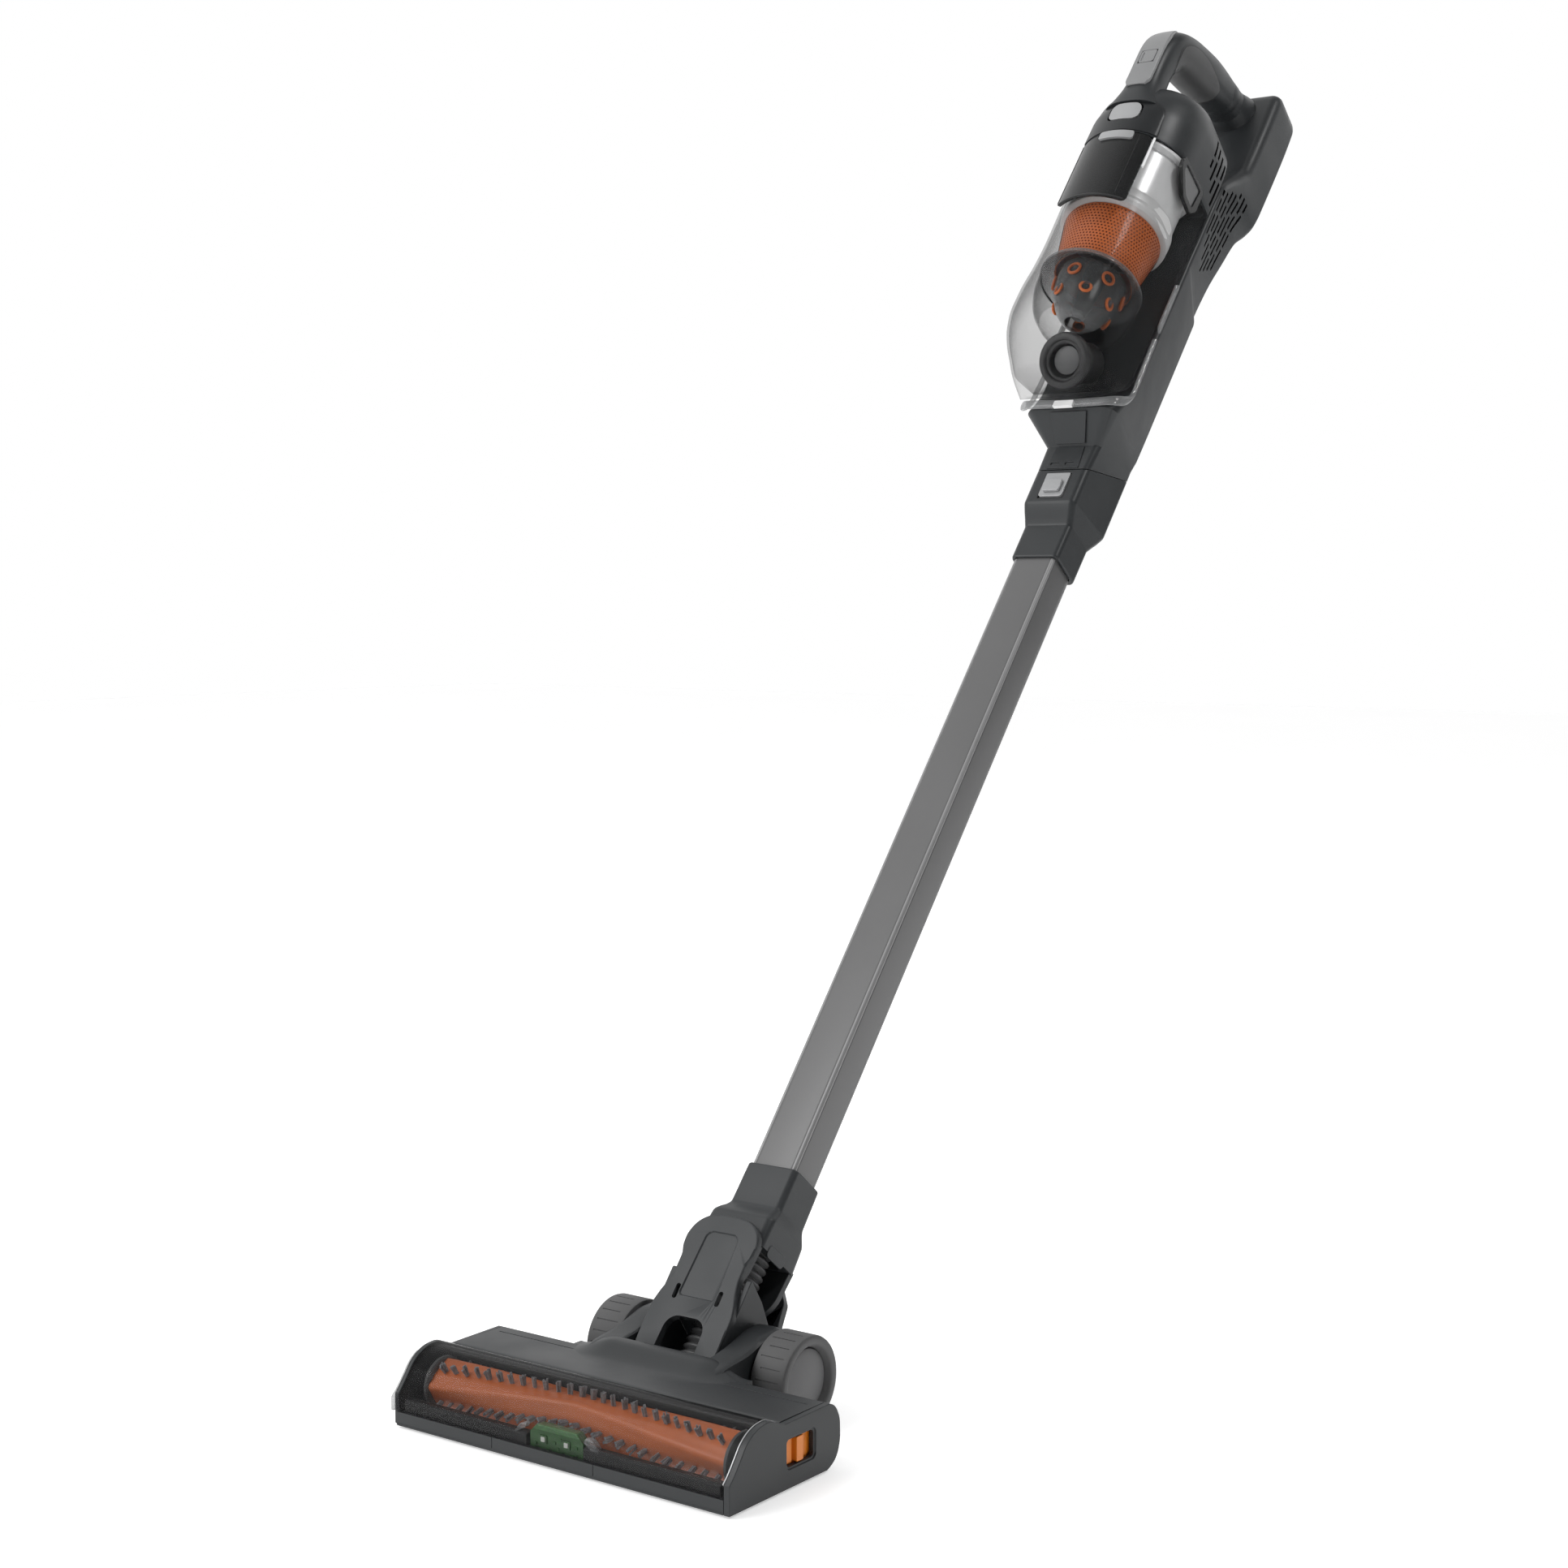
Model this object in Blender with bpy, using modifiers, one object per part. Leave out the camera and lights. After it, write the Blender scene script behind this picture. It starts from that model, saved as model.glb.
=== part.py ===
"""Cordless stick vacuum: floor head, swivel neck, wand and handheld unit with a clear dust bowl.

World axes: X across the head, -Y to the front, Z up, floor at Z = 0, origin under the centre of the whole.
Tables are in millimetres. Stick tables use (x across, n out of the front of the stick, s along the stick).
"""
import math

import bmesh
import bpy
from mathutils import Matrix, Vector

NAME = "cordless_stick_vacuum"
MM = 0.001
GAP = 0.4
ORIGIN_Y = 432.9
CORNER_STEPS = 4
ROUND_STEPS = 20
FINE_STEPS = 28
ARC_STEPS = 7

# Stick axis
STICK_FOOT_Y = 117.1
STICK_ELEVATION = math.radians(50.946)

# Floor head, (y, z) profiles with the front at y = 0
HEAD_HALF = 127.5
CAP_THICK = 4.0
CAP_PROFILE = ((0.0, 1.0), (0.0, 17.7), (6.4, 24.6), (10.5, 30.0), (15.0, 35.8), (21.6, 40.6), (28.5, 43.0),
               (35.5, 43.6), (42.6, 41.4), (49.9, 38.3), (92.1, 38.9), (99.0, 34.0), (102.6, 26.0), (102.4, 15.0),
               (98.4, 5.5), (90.0, 1.0))
WINDOW_OUTER = ((0.0, 9.6), (0.0, 17.7), (6.4, 24.6), (10.5, 30.0), (15.0, 35.8), (21.6, 40.6), (28.5, 43.0),
                (35.5, 43.6), (42.6, 41.4), (49.4, 38.5))
WINDOW_INNER = ((48.6, 36.6), (42.0, 39.3), (35.3, 41.5), (29.0, 41.0), (22.6, 38.8), (16.4, 34.4), (12.1, 28.9),
                (8.0, 23.4), (2.0, 17.0), (2.0, 9.6))
HOUSING_OUTER = ((49.9, 38.3), (92.1, 38.9), (99.0, 34.0), (102.6, 26.0), (102.4, 15.0), (98.4, 5.5), (95.0, 3.6))
HOUSING_INNER = ((93.6, 5.4), (96.6, 8.0), (99.9, 15.6), (100.1, 25.5), (97.1, 32.2), (91.2, 36.4), (52.0, 35.9),
                 (51.6, 34.4), (49.9, 34.4))
SOLE_BASE = (1.0, 3.0)
SOLE_LENGTH = (0.0, 93.0)
SOLE_MOUTH = (14.0, 47.0)
SOLE_MOUTH_HALF = 116.0
BUMPER_TOP = 9.2
BUMPER_DEPTH = 3.0

LATCH_PLATE = ((119.6, 122.9), (50.8, 84.0), (11.6, 29.4))
LATCH_RIB = ((121.0, 126.6), (62.5, 68.5), (13.6, 27.6))
LATCH_WINDOW = ((118.0, 135.0), (52.7, 77.5), (12.9, 28.3))
LATCH_MIDDLE = (125.0, 65.5, 20.6)

BRUSH_Y = 30.5
BRUSH_Z = 20.6
BRUSH_HALF = 112.0
BRUSH_CORE_RADIUS = 12.0
BRUSH_FIN_RADIUS = 15.4
BRUSH_FINS = 4
BRUSH_STEPS = 20
BRUSH_TWIST = math.radians(150)
BRISTLE_TIP = 19.0
BRISTLE_ROOT = 15.8
BRISTLE_WIDTH = math.radians(11)
BRISTLE_TEETH = 26
BRUSH_PIN_RADIUS = 3.0
PULLEY_RADIUS = 9.0
PULLEY_X = (-120.6, -115.0)
PINION_RADIUS = 4.5
PINION_X = (-120.6, -114.0)
MOTOR_Y = 74.0
MOTOR_Z = 20.5
MOTOR_RADIUS = 13.0
MOTOR_X = (-113.4, -58.0)
BELT_X = (-120.2, -115.4)
BELT_THICK = 1.2

LIGHT_BOARD = ((-20.0, 20.0), (4.6, 6.2), (9.8, 18.4))
LIGHT_CHIPS = ((-9.5, 8.0), (3.4, 4.6), (13.0, 16.4), 3.4)
GUIDE_X = (22.0, 33.0)
GUIDE_Y = (3.2, 5.2)
GUIDE_Z = (10.0, 17.0)

ROLLER_X = 104.0
ROLLER_Y = 7.4
ROLLER_RADIUS = 3.4
ROLLER_HALF = 5.0

AXLE_Y = 144.4
AXLE_Z = 27.9
WHEEL_RADIUS = 27.8
WHEEL_X = (51.8, 76.2)
WHEEL_BORE = 20.0
WHEEL_DISH = 21.4
HUB_X = (53.0, 73.4)
HUB_BORE = 3.3
AXLE_RADIUS = 3.0
AXLE_X = (24.5, 74.2)
CHEEK_X = (32.6, 50.6)
CHEEK_SIDE = ((85.0, 39.6), (85.0, 45.4), (92.0, 46.8), (105.0, 47.4), (122.0, 49.6), (140.0, 53.4), (152.0, 54.4),
              (158.0, 48.0), (160.0, 36.0), (156.0, 18.0), (146.0, 12.0), (134.0, 12.0), (112.0, 16.0),
              (104.4, 22.0), (104.4, 39.6))
BAR_SIDE = ((85.0, 39.6), (85.0, 45.2), (90.0, 47.0), (98.0, 47.2), (103.6, 44.6), (104.2, 39.6))
BAR_HALF = 34.0

# Neck, stick coordinates
FORK_FRONT = ((30.4, 24.0), (31.0, 30.0), (31.0, 56.0), (26.4, 70.0), (24.6, 80.0), (24.6, 90.0), (27.2, 98.0),
              (26.4, 106.0), (21.0, 113.5), (12.0, 118.0), (-12.0, 118.0), (-21.0, 113.5), (-26.4, 106.0),
              (-27.2, 98.0), (-24.6, 90.0), (-24.6, 80.0), (-26.4, 70.0), (-31.0, 56.0), (-31.0, 30.0),
              (-30.4, 24.0))
FORK_FRONT_N = (27.4, 32.4)
FORK_WINDOW = ((-17.0, 17.0), (20.0, 50.0), (14.0, 55.0))
FORK_SLOTS = (16.4, 64.4, 3.6, 10.0)
FORK_REAR = ((30.4, 30.0), (30.4, 60.0), (24.0, 74.0), (22.0, 88.0), (16.0, 99.0), (7.0, 104.5), (-7.0, 104.5),
             (-16.0, 99.0), (-22.0, 88.0), (-24.0, 74.0), (-30.4, 60.0), (-30.4, 30.0))
FORK_REAR_N = (-28.0, -22.4)
FORK_WALL_X = (26.6, 30.4)
FORK_WALL = ((-22.8, 30.0), (-22.8, 58.0), (27.8, 74.0), (27.8, 24.0), (12.0, 20.0), (-8.0, 24.0))
FORK_BOSS_RADIUS = 11.0
SWIVEL_S = 92.0
SWIVEL_RADIUS = 4.0
SWIVEL_BORE = 4.3
SWIVEL_N = (19.0, 31.4)
SWIVEL_REAR_N = (-27.0, -13.0)

SOCKET_RINGS = ((163.0, -16.6, 15.2, 19.0, 4.0), (134.0, -17.0, 16.4, 19.4, 4.0), (124.5, -18.4, 24.8, 23.6, 5.0),
                (106.0, -18.4, 26.4, 24.2, 5.0))
SOCKET_CORE = ((170.0, -14.2, 14.2, 17.1, 3.4), (131.0, -14.2, 14.2, 17.1, 3.4), (122.0, -12.0, 18.0, 17.0, 4.0),
               (100.0, -12.0, 19.4, 17.6, 4.0))
TONGUE_RADIUS = 22.0
TONGUE_FRONT_N = (21.0, 26.4)
TONGUE_REAR_N = (-18.4, -13.6)
HOSE_PATH = ((3.0, 30.0), (3.0, 113.0))
HOSE_N = 1.0
HOSE_RIDGE = 12.6
HOSE_VALLEY = 10.4
HOSE_BORE = 8.6
HOSE_RIBS = 13
HOSE_STEPS = 14

# Wand
TUBE_S = (135.0, 706.0)
TUBE_HALF = 16.55
TUBE_N = 13.7
TUBE_ROUND = 3.6
TUBE_WALL = 1.6
COLLAR_RINGS = ((659.0, 659.0, -17.0, 15.2, 19.0, 4.0), (686.0, 688.5, -17.2, 15.2, 19.2, 4.0),
                (709.0, 699.0, -27.6, 25.4, 21.5, 4.6), (765.4, 731.6, -28.0, 25.5, 21.5, 4.6))
COLLAR_CORE = ((640.0, 640.0, -14.1, 14.1, 16.95, 3.6), (706.6, 706.6, -14.1, 14.1, 16.95, 3.6))
COLLAR_MOUTH = ((706.0, 706.0, -23.0, 15.5, 18.0, 3.6), (790.0, 770.0, -23.0, 15.5, 18.0, 3.6))
TUBE_BUTTON = ((-9.8, 9.8), (23.6, 27.0), (706.0, 728.0))
TUBE_BUTTON_POCKET = ((-10.3, 10.3), (18.5, 30.0), (705.5, 728.5))

# Handheld main housing: s at back, s at front, back n, front n, half width back, half width front, radii
BODY_RINGS = ((766.0, 732.2, -28.0, 25.5, 21.5, 21.5, 4.6, 4.6), (774.0, 755.0, -28.0, 25.5, 21.5, 22.5, 5.0, 5.0),
              (784.0, 771.5, -28.0, 47.5, 22.0, 39.0, 5.0, 9.0), (793.0, 779.0, -28.0, 42.0, 22.0, 39.5, 5.0, 6.0),
              (802.0, 790.0, -28.0, 37.0, 22.0, 40.0, 5.0, 4.0), (814.0, 804.0, -28.0, 34.0, 22.0, 40.5, 5.0, 3.0),
              (860.0, 860.0, -28.0, 34.0, 22.0, 41.0, 5.0, 3.0), (924.0, 924.0, -28.0, 34.0, 22.0, 42.0, 5.0, 3.0),
              (926.0, 926.0, -23.6, 34.0, 22.0, 42.0, 5.0, 3.0), (955.0, 955.0, -24.2, 34.0, 23.2, 42.5, 5.0, 3.0),
              (988.0, 988.0, -26.6, 34.0, 26.0, 42.5, 5.0, 3.0), (1010.0, 1010.0, -28.0, 32.0, 28.6, 42.0, 5.0, 4.0),
              (1022.0, 1024.0, -31.6, 26.0, 33.0, 40.5, 5.5, 6.0), (1034.0, 1042.0, -34.2, 15.0, 35.6, 38.6, 5.5, 6.0),
              (1048.0, 1062.0, -35.4, 5.6, 36.2, 37.2, 5.5, 6.0), (1110.0, 1110.0, -36.4, 4.4, 36.2, 36.8, 5.5, 6.0),
              (1142.0, 1142.0, -35.6, 4.0, 35.8, 36.4, 5.5, 6.0), (1150.0, 1150.0, -31.0, 0.0, 31.6, 32.0, 4.0, 4.0))
BODY_WALL = 2.4
BODY_CORE_ROWS = (5, 17)
DUCT_CORE = ((780.0, 725.0, -23.5, 16.0, 18.2, 18.2, 3.6, 3.6), (790.0, 775.0, -23.5, 16.0, 18.2, 18.2, 3.6, 3.6))
PORT_RADIUS = 15.0
PORT_S = 832.0
NOZZLE_PANEL = ((-13.4, 733.0), (13.4, 733.0), (11.8, 753.6), (-11.8, 753.6))
NOZZLE_PANEL_N = (25.9, 27.1)
PANEL_SLOTS = ((-7.0, 5.0), 737.4, 7.4, 2.6)

# Motor housing (dome): s, back n, front n, half back, half front, front radius
DOME_RINGS = ((974.8, 34.6, 127.4, 41.6, 47.2, 44.0), (1000.0, 34.6, 127.2, 42.2, 47.2, 44.0),
              (1015.0, 34.6, 124.8, 42.0, 46.6, 43.0), (1028.0, 34.6, 119.4, 40.4, 44.6, 40.0),
              (1037.0, 35.6, 111.6, 37.0, 40.6, 36.0), (1042.6, 38.6, 103.0, 31.6, 34.4, 30.0),
              (1045.0, 44.0, 93.0, 23.0, 26.0, 22.0))
DOME_WALL = 2.4
DOME_BACK_RADIUS = 4.0
VENT_X = (36.0, 60.0)
VENT_SLOTS = ((1000.0, 60.0, 14.0), (996.0, 55.5, 26.0), (991.0, 51.0, 30.0), (1000.0, 46.5, 34.0),
              (994.0, 42.0, 30.0))
VENT_WIDTH = 1.5

# Handle centre line: s, n, half width, half depth
HANDLE_PATH = ((1006.0, 112.6, 15.6, 14.6), (1026.0, 114.4, 14.4, 13.4), (1050.0, 115.0, 14.0, 12.8),
               (1068.0, 114.0, 14.4, 13.4), (1080.5, 109.6, 15.2, 14.4), (1089.0, 101.5, 15.8, 15.4),
               (1096.0, 90.0, 16.0, 16.6), (1103.0, 75.0, 16.0, 17.4), (1110.0, 59.0, 15.8, 17.6),
               (1116.0, 44.0, 15.0, 16.6), (1121.0, 29.0, 14.4, 15.0), (1124.0, 16.0, 15.0, 15.0),
               (1126.0, 2.0, 16.0, 16.0), (1126.0, -4.0, 16.0, 16.0))
HANDLE_STEPS = 16
INLAY_ROWS = (3, 10)
INLAY_RISE = (0.3, 1.2)
INLAY_SPAN = (math.radians(-24), math.radians(204))
STRIP_ROWS = (1, 6)
STRIP_HALF = 10.3
STRIP_RISE = (-1.2, 0.6)
POWER_BUTTON = ((-6.4, 6.4), (1049.0, 1062.0), (126.4, 129.4))
POWER_POCKET = ((-6.9, 6.9), (1048.5, 1062.5), (123.6, 135.0))
BOWL_BUTTON = ((-13.0, 13.0), (987.4, 1004.0), (122.0, 128.4))
BOWL_BUTTON_POCKET = ((-13.5, 13.5), (986.9, 1004.5), (119.0, 140.0))

FAN_N = 80.0
MOTOR_CASE = (24.0, 990.0, 1028.0)
IMPELLER = (26.0, 979.0, 988.6)
IMPELLER_BLADES = 9
BOARD_BOX = ((-15.0, 15.0), (14.0, 15.6), (870.0, 930.0))
CELL_RADIUS = 9.1
CELL_HALF = 32.4
CELL_S = (1052.0, 1071.0, 1090.0, 1109.0, 1128.0)
CELL_N = -15.4
CELL_HOLDER = ((-30.0, 30.0), (-17.0, -13.8), (1048.0, 1132.0))
REAR_COVER = ((-24.0, 24.0), (-38.4, -36.9), (1056.0, 1134.0))

# Dust bowl: s at back, s at front, back n, front n, half back, half front, front radius
BOWL_RINGS = ((974.2, 974.2, 34.6, 126.8, 41.4, 46.8, 43.0), (925.0, 925.0, 34.6, 123.8, 40.8, 44.8, 42.0),
              (880.0, 880.0, 34.6, 123.0, 40.2, 44.4, 42.0), (853.0, 853.0, 34.6, 124.4, 40.0, 44.9, 42.0),
              (829.0, 829.0, 34.6, 126.6, 39.8, 46.0, 43.0), (818.0, 812.0, 34.8, 126.8, 39.6, 46.0, 43.0),
              (809.0, 800.0, 35.6, 123.0, 39.4, 45.2, 40.0), (801.0, 790.0, 37.5, 112.5, 39.2, 43.6, 34.0),
              (795.0, 783.5, 39.5, 99.5, 38.8, 42.4, 28.0), (790.0, 780.0, 42.0, 86.0, 38.4, 41.4, 22.0),
              (786.0, 778.3, 44.0, 69.0, 38.0, 40.4, 16.0), (782.0, 777.0, 46.0, 54.0, 37.0, 39.0, 4.0))
BOWL_WALL = 2.0
BOWL_FLOOR = (788.0, 780.2, 44.5, 74.0, 37.4, 39.4, 16.0)
LIP_PATH = ((-42.6, 36.0, 792.0), (-42.6, 42.0, 784.0), (-40.6, 47.6, 778.4), (-36.0, 50.6, 776.2),
            (-30.0, 51.2, 775.6), (30.0, 51.2, 775.6), (36.0, 50.6, 776.2), (40.6, 47.6, 778.4),
            (42.6, 42.0, 784.0), (42.6, 36.0, 792.0))
LIP_RADIUS = 1.9
LIP_STEPS = 8
LIP_TAB = ((-7.5, 7.5), (53.5, 54.8), (771.6, 776.2))
BOWL_ROUND_LOW = (925.0, 79.0, 44.8)
BOWL_ROUND_HIGH = (974.2, 80.0, 46.8)

SLEEVE = (40.2, 38.8, 914.0, 973.6, 79.6)
PANEL_ANGLES = (math.radians(-38), math.radians(38))
PANEL_STEPS = 10
PANEL_S = (911.0, 973.8)
PANEL_RISE = (1.3, 2.7)
PANEL_TAB = ((-13.0, 13.0), (129.9, 132.0), (966.5, 972.5))
CATCH_BOX = ((47.6, 50.4), (58.0, 80.0), (941.0, 968.0))
CONE_N = 79.0
MESH_CONE = ((37.0, 911.0), (30.0, 868.0), 1.2)
SKIRT = ((31.0, 867.0), (38.6, 861.0), 1.4)
INNER_CONE = ((24.0, 866.6), (24.0, 848.0), (16.0, 832.0), (9.0, 826.0))
FILTER_RADII = (37.0, 22.0)
FILTER_S = (936.0, 971.0)
FILTER_PLEATS = 24
DUCT_MOUTH = (797.5, 79.5)
DUCT_RING = (19.0, 12.6, 7.0)
DUCT_PIPE = (15.0, 12.6, 32.0)
FLAP_RADIUS = 11.6
FLAP_THICK = 1.2

COLORS = {
    "dark_plastic": ((0.075, 0.080, 0.083, 1.0), 0.42, 0.0),
    "neck_plastic": ((0.085, 0.089, 0.092, 1.0), 0.45, 0.0),
    "tube_paint": ((0.155, 0.155, 0.158, 1.0), 0.38, 0.1),
    "wheel_rubber": ((0.130, 0.130, 0.132, 1.0), 0.6, 0.0),
    "hub_plastic": ((0.180, 0.180, 0.184, 1.0), 0.5, 0.0),
    "orange_plastic": ((0.72, 0.13, 0.03, 1.0), 0.45, 0.0),
    "latch_orange": ((0.85, 0.20, 0.01, 1.0), 0.4, 0.0),
    "bristle": ((0.25, 0.25, 0.26, 1.0), 0.8, 0.0),
    "clear_plastic": ((0.80, 0.82, 0.84, 0.25), 0.05, 0.0),
    "smoked_plastic": ((0.10, 0.10, 0.105, 0.8), 0.1, 0.0),
    "silver_button": ((0.42, 0.43, 0.44, 1.0), 0.35, 0.6),
    "light_strip": ((0.24, 0.245, 0.25, 1.0), 0.45, 0.0),
    "chrome_sleeve": ((0.72, 0.73, 0.74, 1.0), 0.15, 1.0),
    "board_green": ((0.03, 0.12, 0.03, 1.0), 0.5, 0.0),
    "steel": ((0.60, 0.60, 0.62, 1.0), 0.3, 1.0),
    "soft_grip": ((0.06, 0.062, 0.064, 1.0), 0.7, 0.0),
    "black_rubber": ((0.02, 0.02, 0.02, 1.0), 0.7, 0.0),
    "filter_white": ((0.80, 0.80, 0.78, 1.0), 0.9, 0.0),
    "cell_wrap": ((0.05, 0.16, 0.30, 1.0), 0.4, 0.0),
    "tab_white": ((0.80, 0.80, 0.80, 1.0), 0.4, 0.0),
}


def clear_scene():
    for obj in list(bpy.data.objects):
        bpy.data.objects.remove(obj, do_unlink=True)
    for group in list(bpy.data.collections):
        bpy.data.collections.remove(group)


def new_collection(name):
    group = bpy.data.collections.new(name)
    bpy.context.scene.collection.children.link(group)
    return group


def material(name):
    found = bpy.data.materials.get(name)
    if found:
        return found
    color, roughness, metallic = COLORS[name]
    made = bpy.data.materials.new(name)
    made.use_nodes = True
    shader = made.node_tree.nodes["Principled BSDF"]
    shader.inputs["Base Color"].default_value = color
    shader.inputs["Roughness"].default_value = roughness
    shader.inputs["Metallic"].default_value = metallic
    shader.inputs["Alpha"].default_value = color[3]
    made.diffuse_color = color
    return made


def head_frame():
    return Matrix.Translation((0.0, -ORIGIN_Y * MM, 0.0))


def stick_frame():
    foot = Matrix.Translation((0.0, (STICK_FOOT_Y - ORIGIN_Y) * MM, 0.0))
    lean = Matrix.Rotation(STICK_ELEVATION - math.pi / 2, 4, "X")
    return foot @ lean


def add(bm, name, slot, frame, origin=(0.0, 0.0, 0.0)):
    """Turn a bmesh drawn in millimetres into an object of its own, its origin at the given point."""
    bmesh.ops.recalc_face_normals(bm, faces=bm.faces)
    mesh = bpy.data.meshes.new(name)
    bm.to_mesh(mesh)
    bm.free()
    mesh.transform(Matrix.Scale(MM, 4) @ Matrix.Translation(-Vector(origin)))
    obj = bpy.data.objects.new(name, mesh)
    obj.matrix_world = frame @ Matrix.Translation(Vector(origin) * MM)
    group = CUTTERS if slot is None else PARTS
    group.objects.link(obj)
    if slot is None:
        obj.hide_render = True
        obj.display_type = "WIRE"
    else:
        mesh.materials.append(material(slot))
    return obj


def combine(obj, other, operation):
    change = obj.modifiers.new(other.name, "BOOLEAN")
    change.operation = operation
    change.solver = "EXACT"
    change.object = other


def cut(obj, other):
    combine(obj, other, "DIFFERENCE")


def join(obj, other):
    combine(obj, other, "UNION")


def stick(x, n, s):
    return Vector((x, -n, s))


def lofted(rings, caps=True):
    """Skin between closed rings that have the same number of points."""
    bm = bmesh.new()
    rows = [[bm.verts.new(point) for point in ring] for ring in rings]
    bridge(bm, rows)
    if caps:
        bm.faces.new(rows[0])
        bm.faces.new(rows[-1])
    return bm


def bridge(bm, rows):
    for lower, upper in zip(rows, rows[1:]):
        count = len(lower)
        for i in range(count):
            j = (i + 1) % count
            bm.faces.new((lower[i], lower[j], upper[j], upper[i]))


def cup(outer, inner):
    """Walled vessel open at its first ring and closed at its last."""
    bm = bmesh.new()
    skin = [[bm.verts.new(point) for point in ring] for ring in outer]
    core = [[bm.verts.new(point) for point in ring] for ring in inner]
    bridge(bm, skin)
    bridge(bm, core)
    bridge(bm, [skin[0], core[0]])
    bm.faces.new(skin[-1])
    bm.faces.new(core[-1])
    return bm


def sleeve(outer, inner):
    """Walled tube open at both ends."""
    bm = bmesh.new()
    skin = [[bm.verts.new(point) for point in ring] for ring in outer]
    core = [[bm.verts.new(point) for point in ring] for ring in inner]
    bridge(bm, skin)
    bridge(bm, core)
    bridge(bm, [skin[0], core[0]])
    bridge(bm, [skin[-1], core[-1]])
    return bm


def box(ranges):
    bm = bmesh.new()
    bmesh.ops.create_cube(bm, size=1.0)
    size = [high - low for low, high in ranges]
    middle = [(high + low) / 2 for low, high in ranges]
    bmesh.ops.scale(bm, vec=size, verts=bm.verts)
    bmesh.ops.translate(bm, vec=middle, verts=bm.verts)
    return bm


def stick_box(across, out, along):
    return box((across, (-out[1], -out[0]), along))


def drum(start, end, radius, steps=ROUND_STEPS, end_radius=None):
    """Solid cylinder or cone frustum between two points."""
    start, end = Vector(start), Vector(end)
    axis = end - start
    bm = bmesh.new()
    top = radius if end_radius is None else end_radius
    bmesh.ops.create_cone(bm, cap_ends=True, segments=steps, radius1=radius, radius2=top, depth=axis.length)
    turn = Vector((0.0, 0.0, 1.0)).rotation_difference(axis).to_matrix()
    bmesh.ops.rotate(bm, matrix=turn, verts=bm.verts)
    bmesh.ops.translate(bm, vec=(start + end) / 2, verts=bm.verts)
    return bm


def circle(radius, steps, middle=(0.0, 0.0)):
    turns = [2 * math.pi * i / steps for i in range(steps)]
    return [(middle[0] + radius * math.cos(a), middle[1] + radius * math.sin(a)) for a in turns]


def stick_ring(radius, s, n, steps=ROUND_STEPS):
    return [stick(x, y, s) for x, y in circle(radius, steps, (0.0, n))]


def x_ring(radius, x, y, z, steps=ROUND_STEPS):
    return [Vector((x, b, c)) for b, c in circle(radius, steps, (y, z))]


def rounded(points, radii, steps=CORNER_STEPS):
    """Polygon with each corner replaced by an arc."""
    out = []
    count = len(points)
    for i, radius in enumerate(radii):
        here = Vector(points[i])
        before = Vector(points[i - 1]) - here
        after = Vector(points[(i + 1) % count]) - here
        half = before.angle(after) / 2
        reach = min(radius / math.tan(half), 0.48 * before.length, 0.48 * after.length)
        first = here + before.normalized() * reach
        last = here + after.normalized() * reach
        weight = math.sin(half)
        for k in range(steps + 1):
            u = k / steps
            a, b, c = (1 - u) ** 2, 2 * u * (1 - u) * weight, u * u
            out.append((first * a + here * b + last * c) / (a + b + c))
    return out


def section(back, front, half_back, half_front, round_back, round_front, steps=CORNER_STEPS):
    corners = ((-half_back, back), (half_back, back), (half_front, front), (-half_front, front))
    return rounded(corners, (round_back, round_back, round_front, round_front), steps)


def tilted_ring(s_back, s_front, back, front, outline):
    """Ring whose height runs evenly from its back edge to its front edge."""
    rise = (s_front - s_back) / (front - back)
    return [stick(p[0], p[1], s_back + (p[1] - back) * rise) for p in outline]


def body_ring(row, inset=0.0):
    s_back, s_front, back, front, half_back, half_front, round_back, round_front = row
    outline = section(back + inset, front - inset, half_back - inset, half_front - inset, round_back, round_front)
    return tilted_ring(s_back, s_front, back + inset, front - inset, outline)


def bowl_ring(row, inset=0.0):
    s_back, s_front, back, front, half_back, half_front, round_front = row
    outline = section(back + inset, front - inset, half_back - inset, half_front - inset, 3.0,
                      round_front, steps=ARC_STEPS)
    return tilted_ring(s_back, s_front, back + inset, front - inset, outline)


def dome_ring(row, inset=0.0):
    s, back, front, half_back, half_front, round_front = row
    outline = section(back + inset, front - inset, half_back - inset, half_front - inset, DOME_BACK_RADIUS,
                      round_front, steps=ARC_STEPS)
    return [stick(p[0], p[1], s) for p in outline]


def tube_ring(s, back, front, half, radius):
    return [stick(p[0], p[1], s) for p in section(back, front, half, half, radius, radius)]


def extrude_x(profile, low, high):
    return lofted([[Vector((x, y, z)) for y, z in profile] for x in (low, high)])


def extrude_n(outline, low, high):
    """Plate across the stick: outline in (x, s), thickness along n."""
    return lofted([[stick(x, n, s) for x, s in outline] for n in (low, high)])


# Floor head

def sole_plate():
    bm = box(((-HEAD_HALF + CAP_THICK + GAP, HEAD_HALF - CAP_THICK - GAP), SOLE_LENGTH, SOLE_BASE))
    sole = add(bm, "sole_plate", "dark_plastic", HEAD)
    mouth = box(((-SOLE_MOUTH_HALF, SOLE_MOUTH_HALF), SOLE_MOUTH, (SOLE_BASE[0] - 5.0, SOLE_BASE[1] + 5.0)))
    cut(sole, add(mouth, "cut_sole_mouth", None, HEAD))
    for side in (-1, 1):
        well = box((span(side * ROLLER_X, ROLLER_HALF + GAP), span(ROLLER_Y, ROLLER_RADIUS + GAP), (-5.0, 8.0)))
        cut(sole, add(well, side_name("cut_roller_well", side), None, HEAD))


def span(middle, half):
    return (middle - half, middle + half)


def side_name(base, side):
    return base + ("_left" if side < 0 else "_right")


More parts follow.
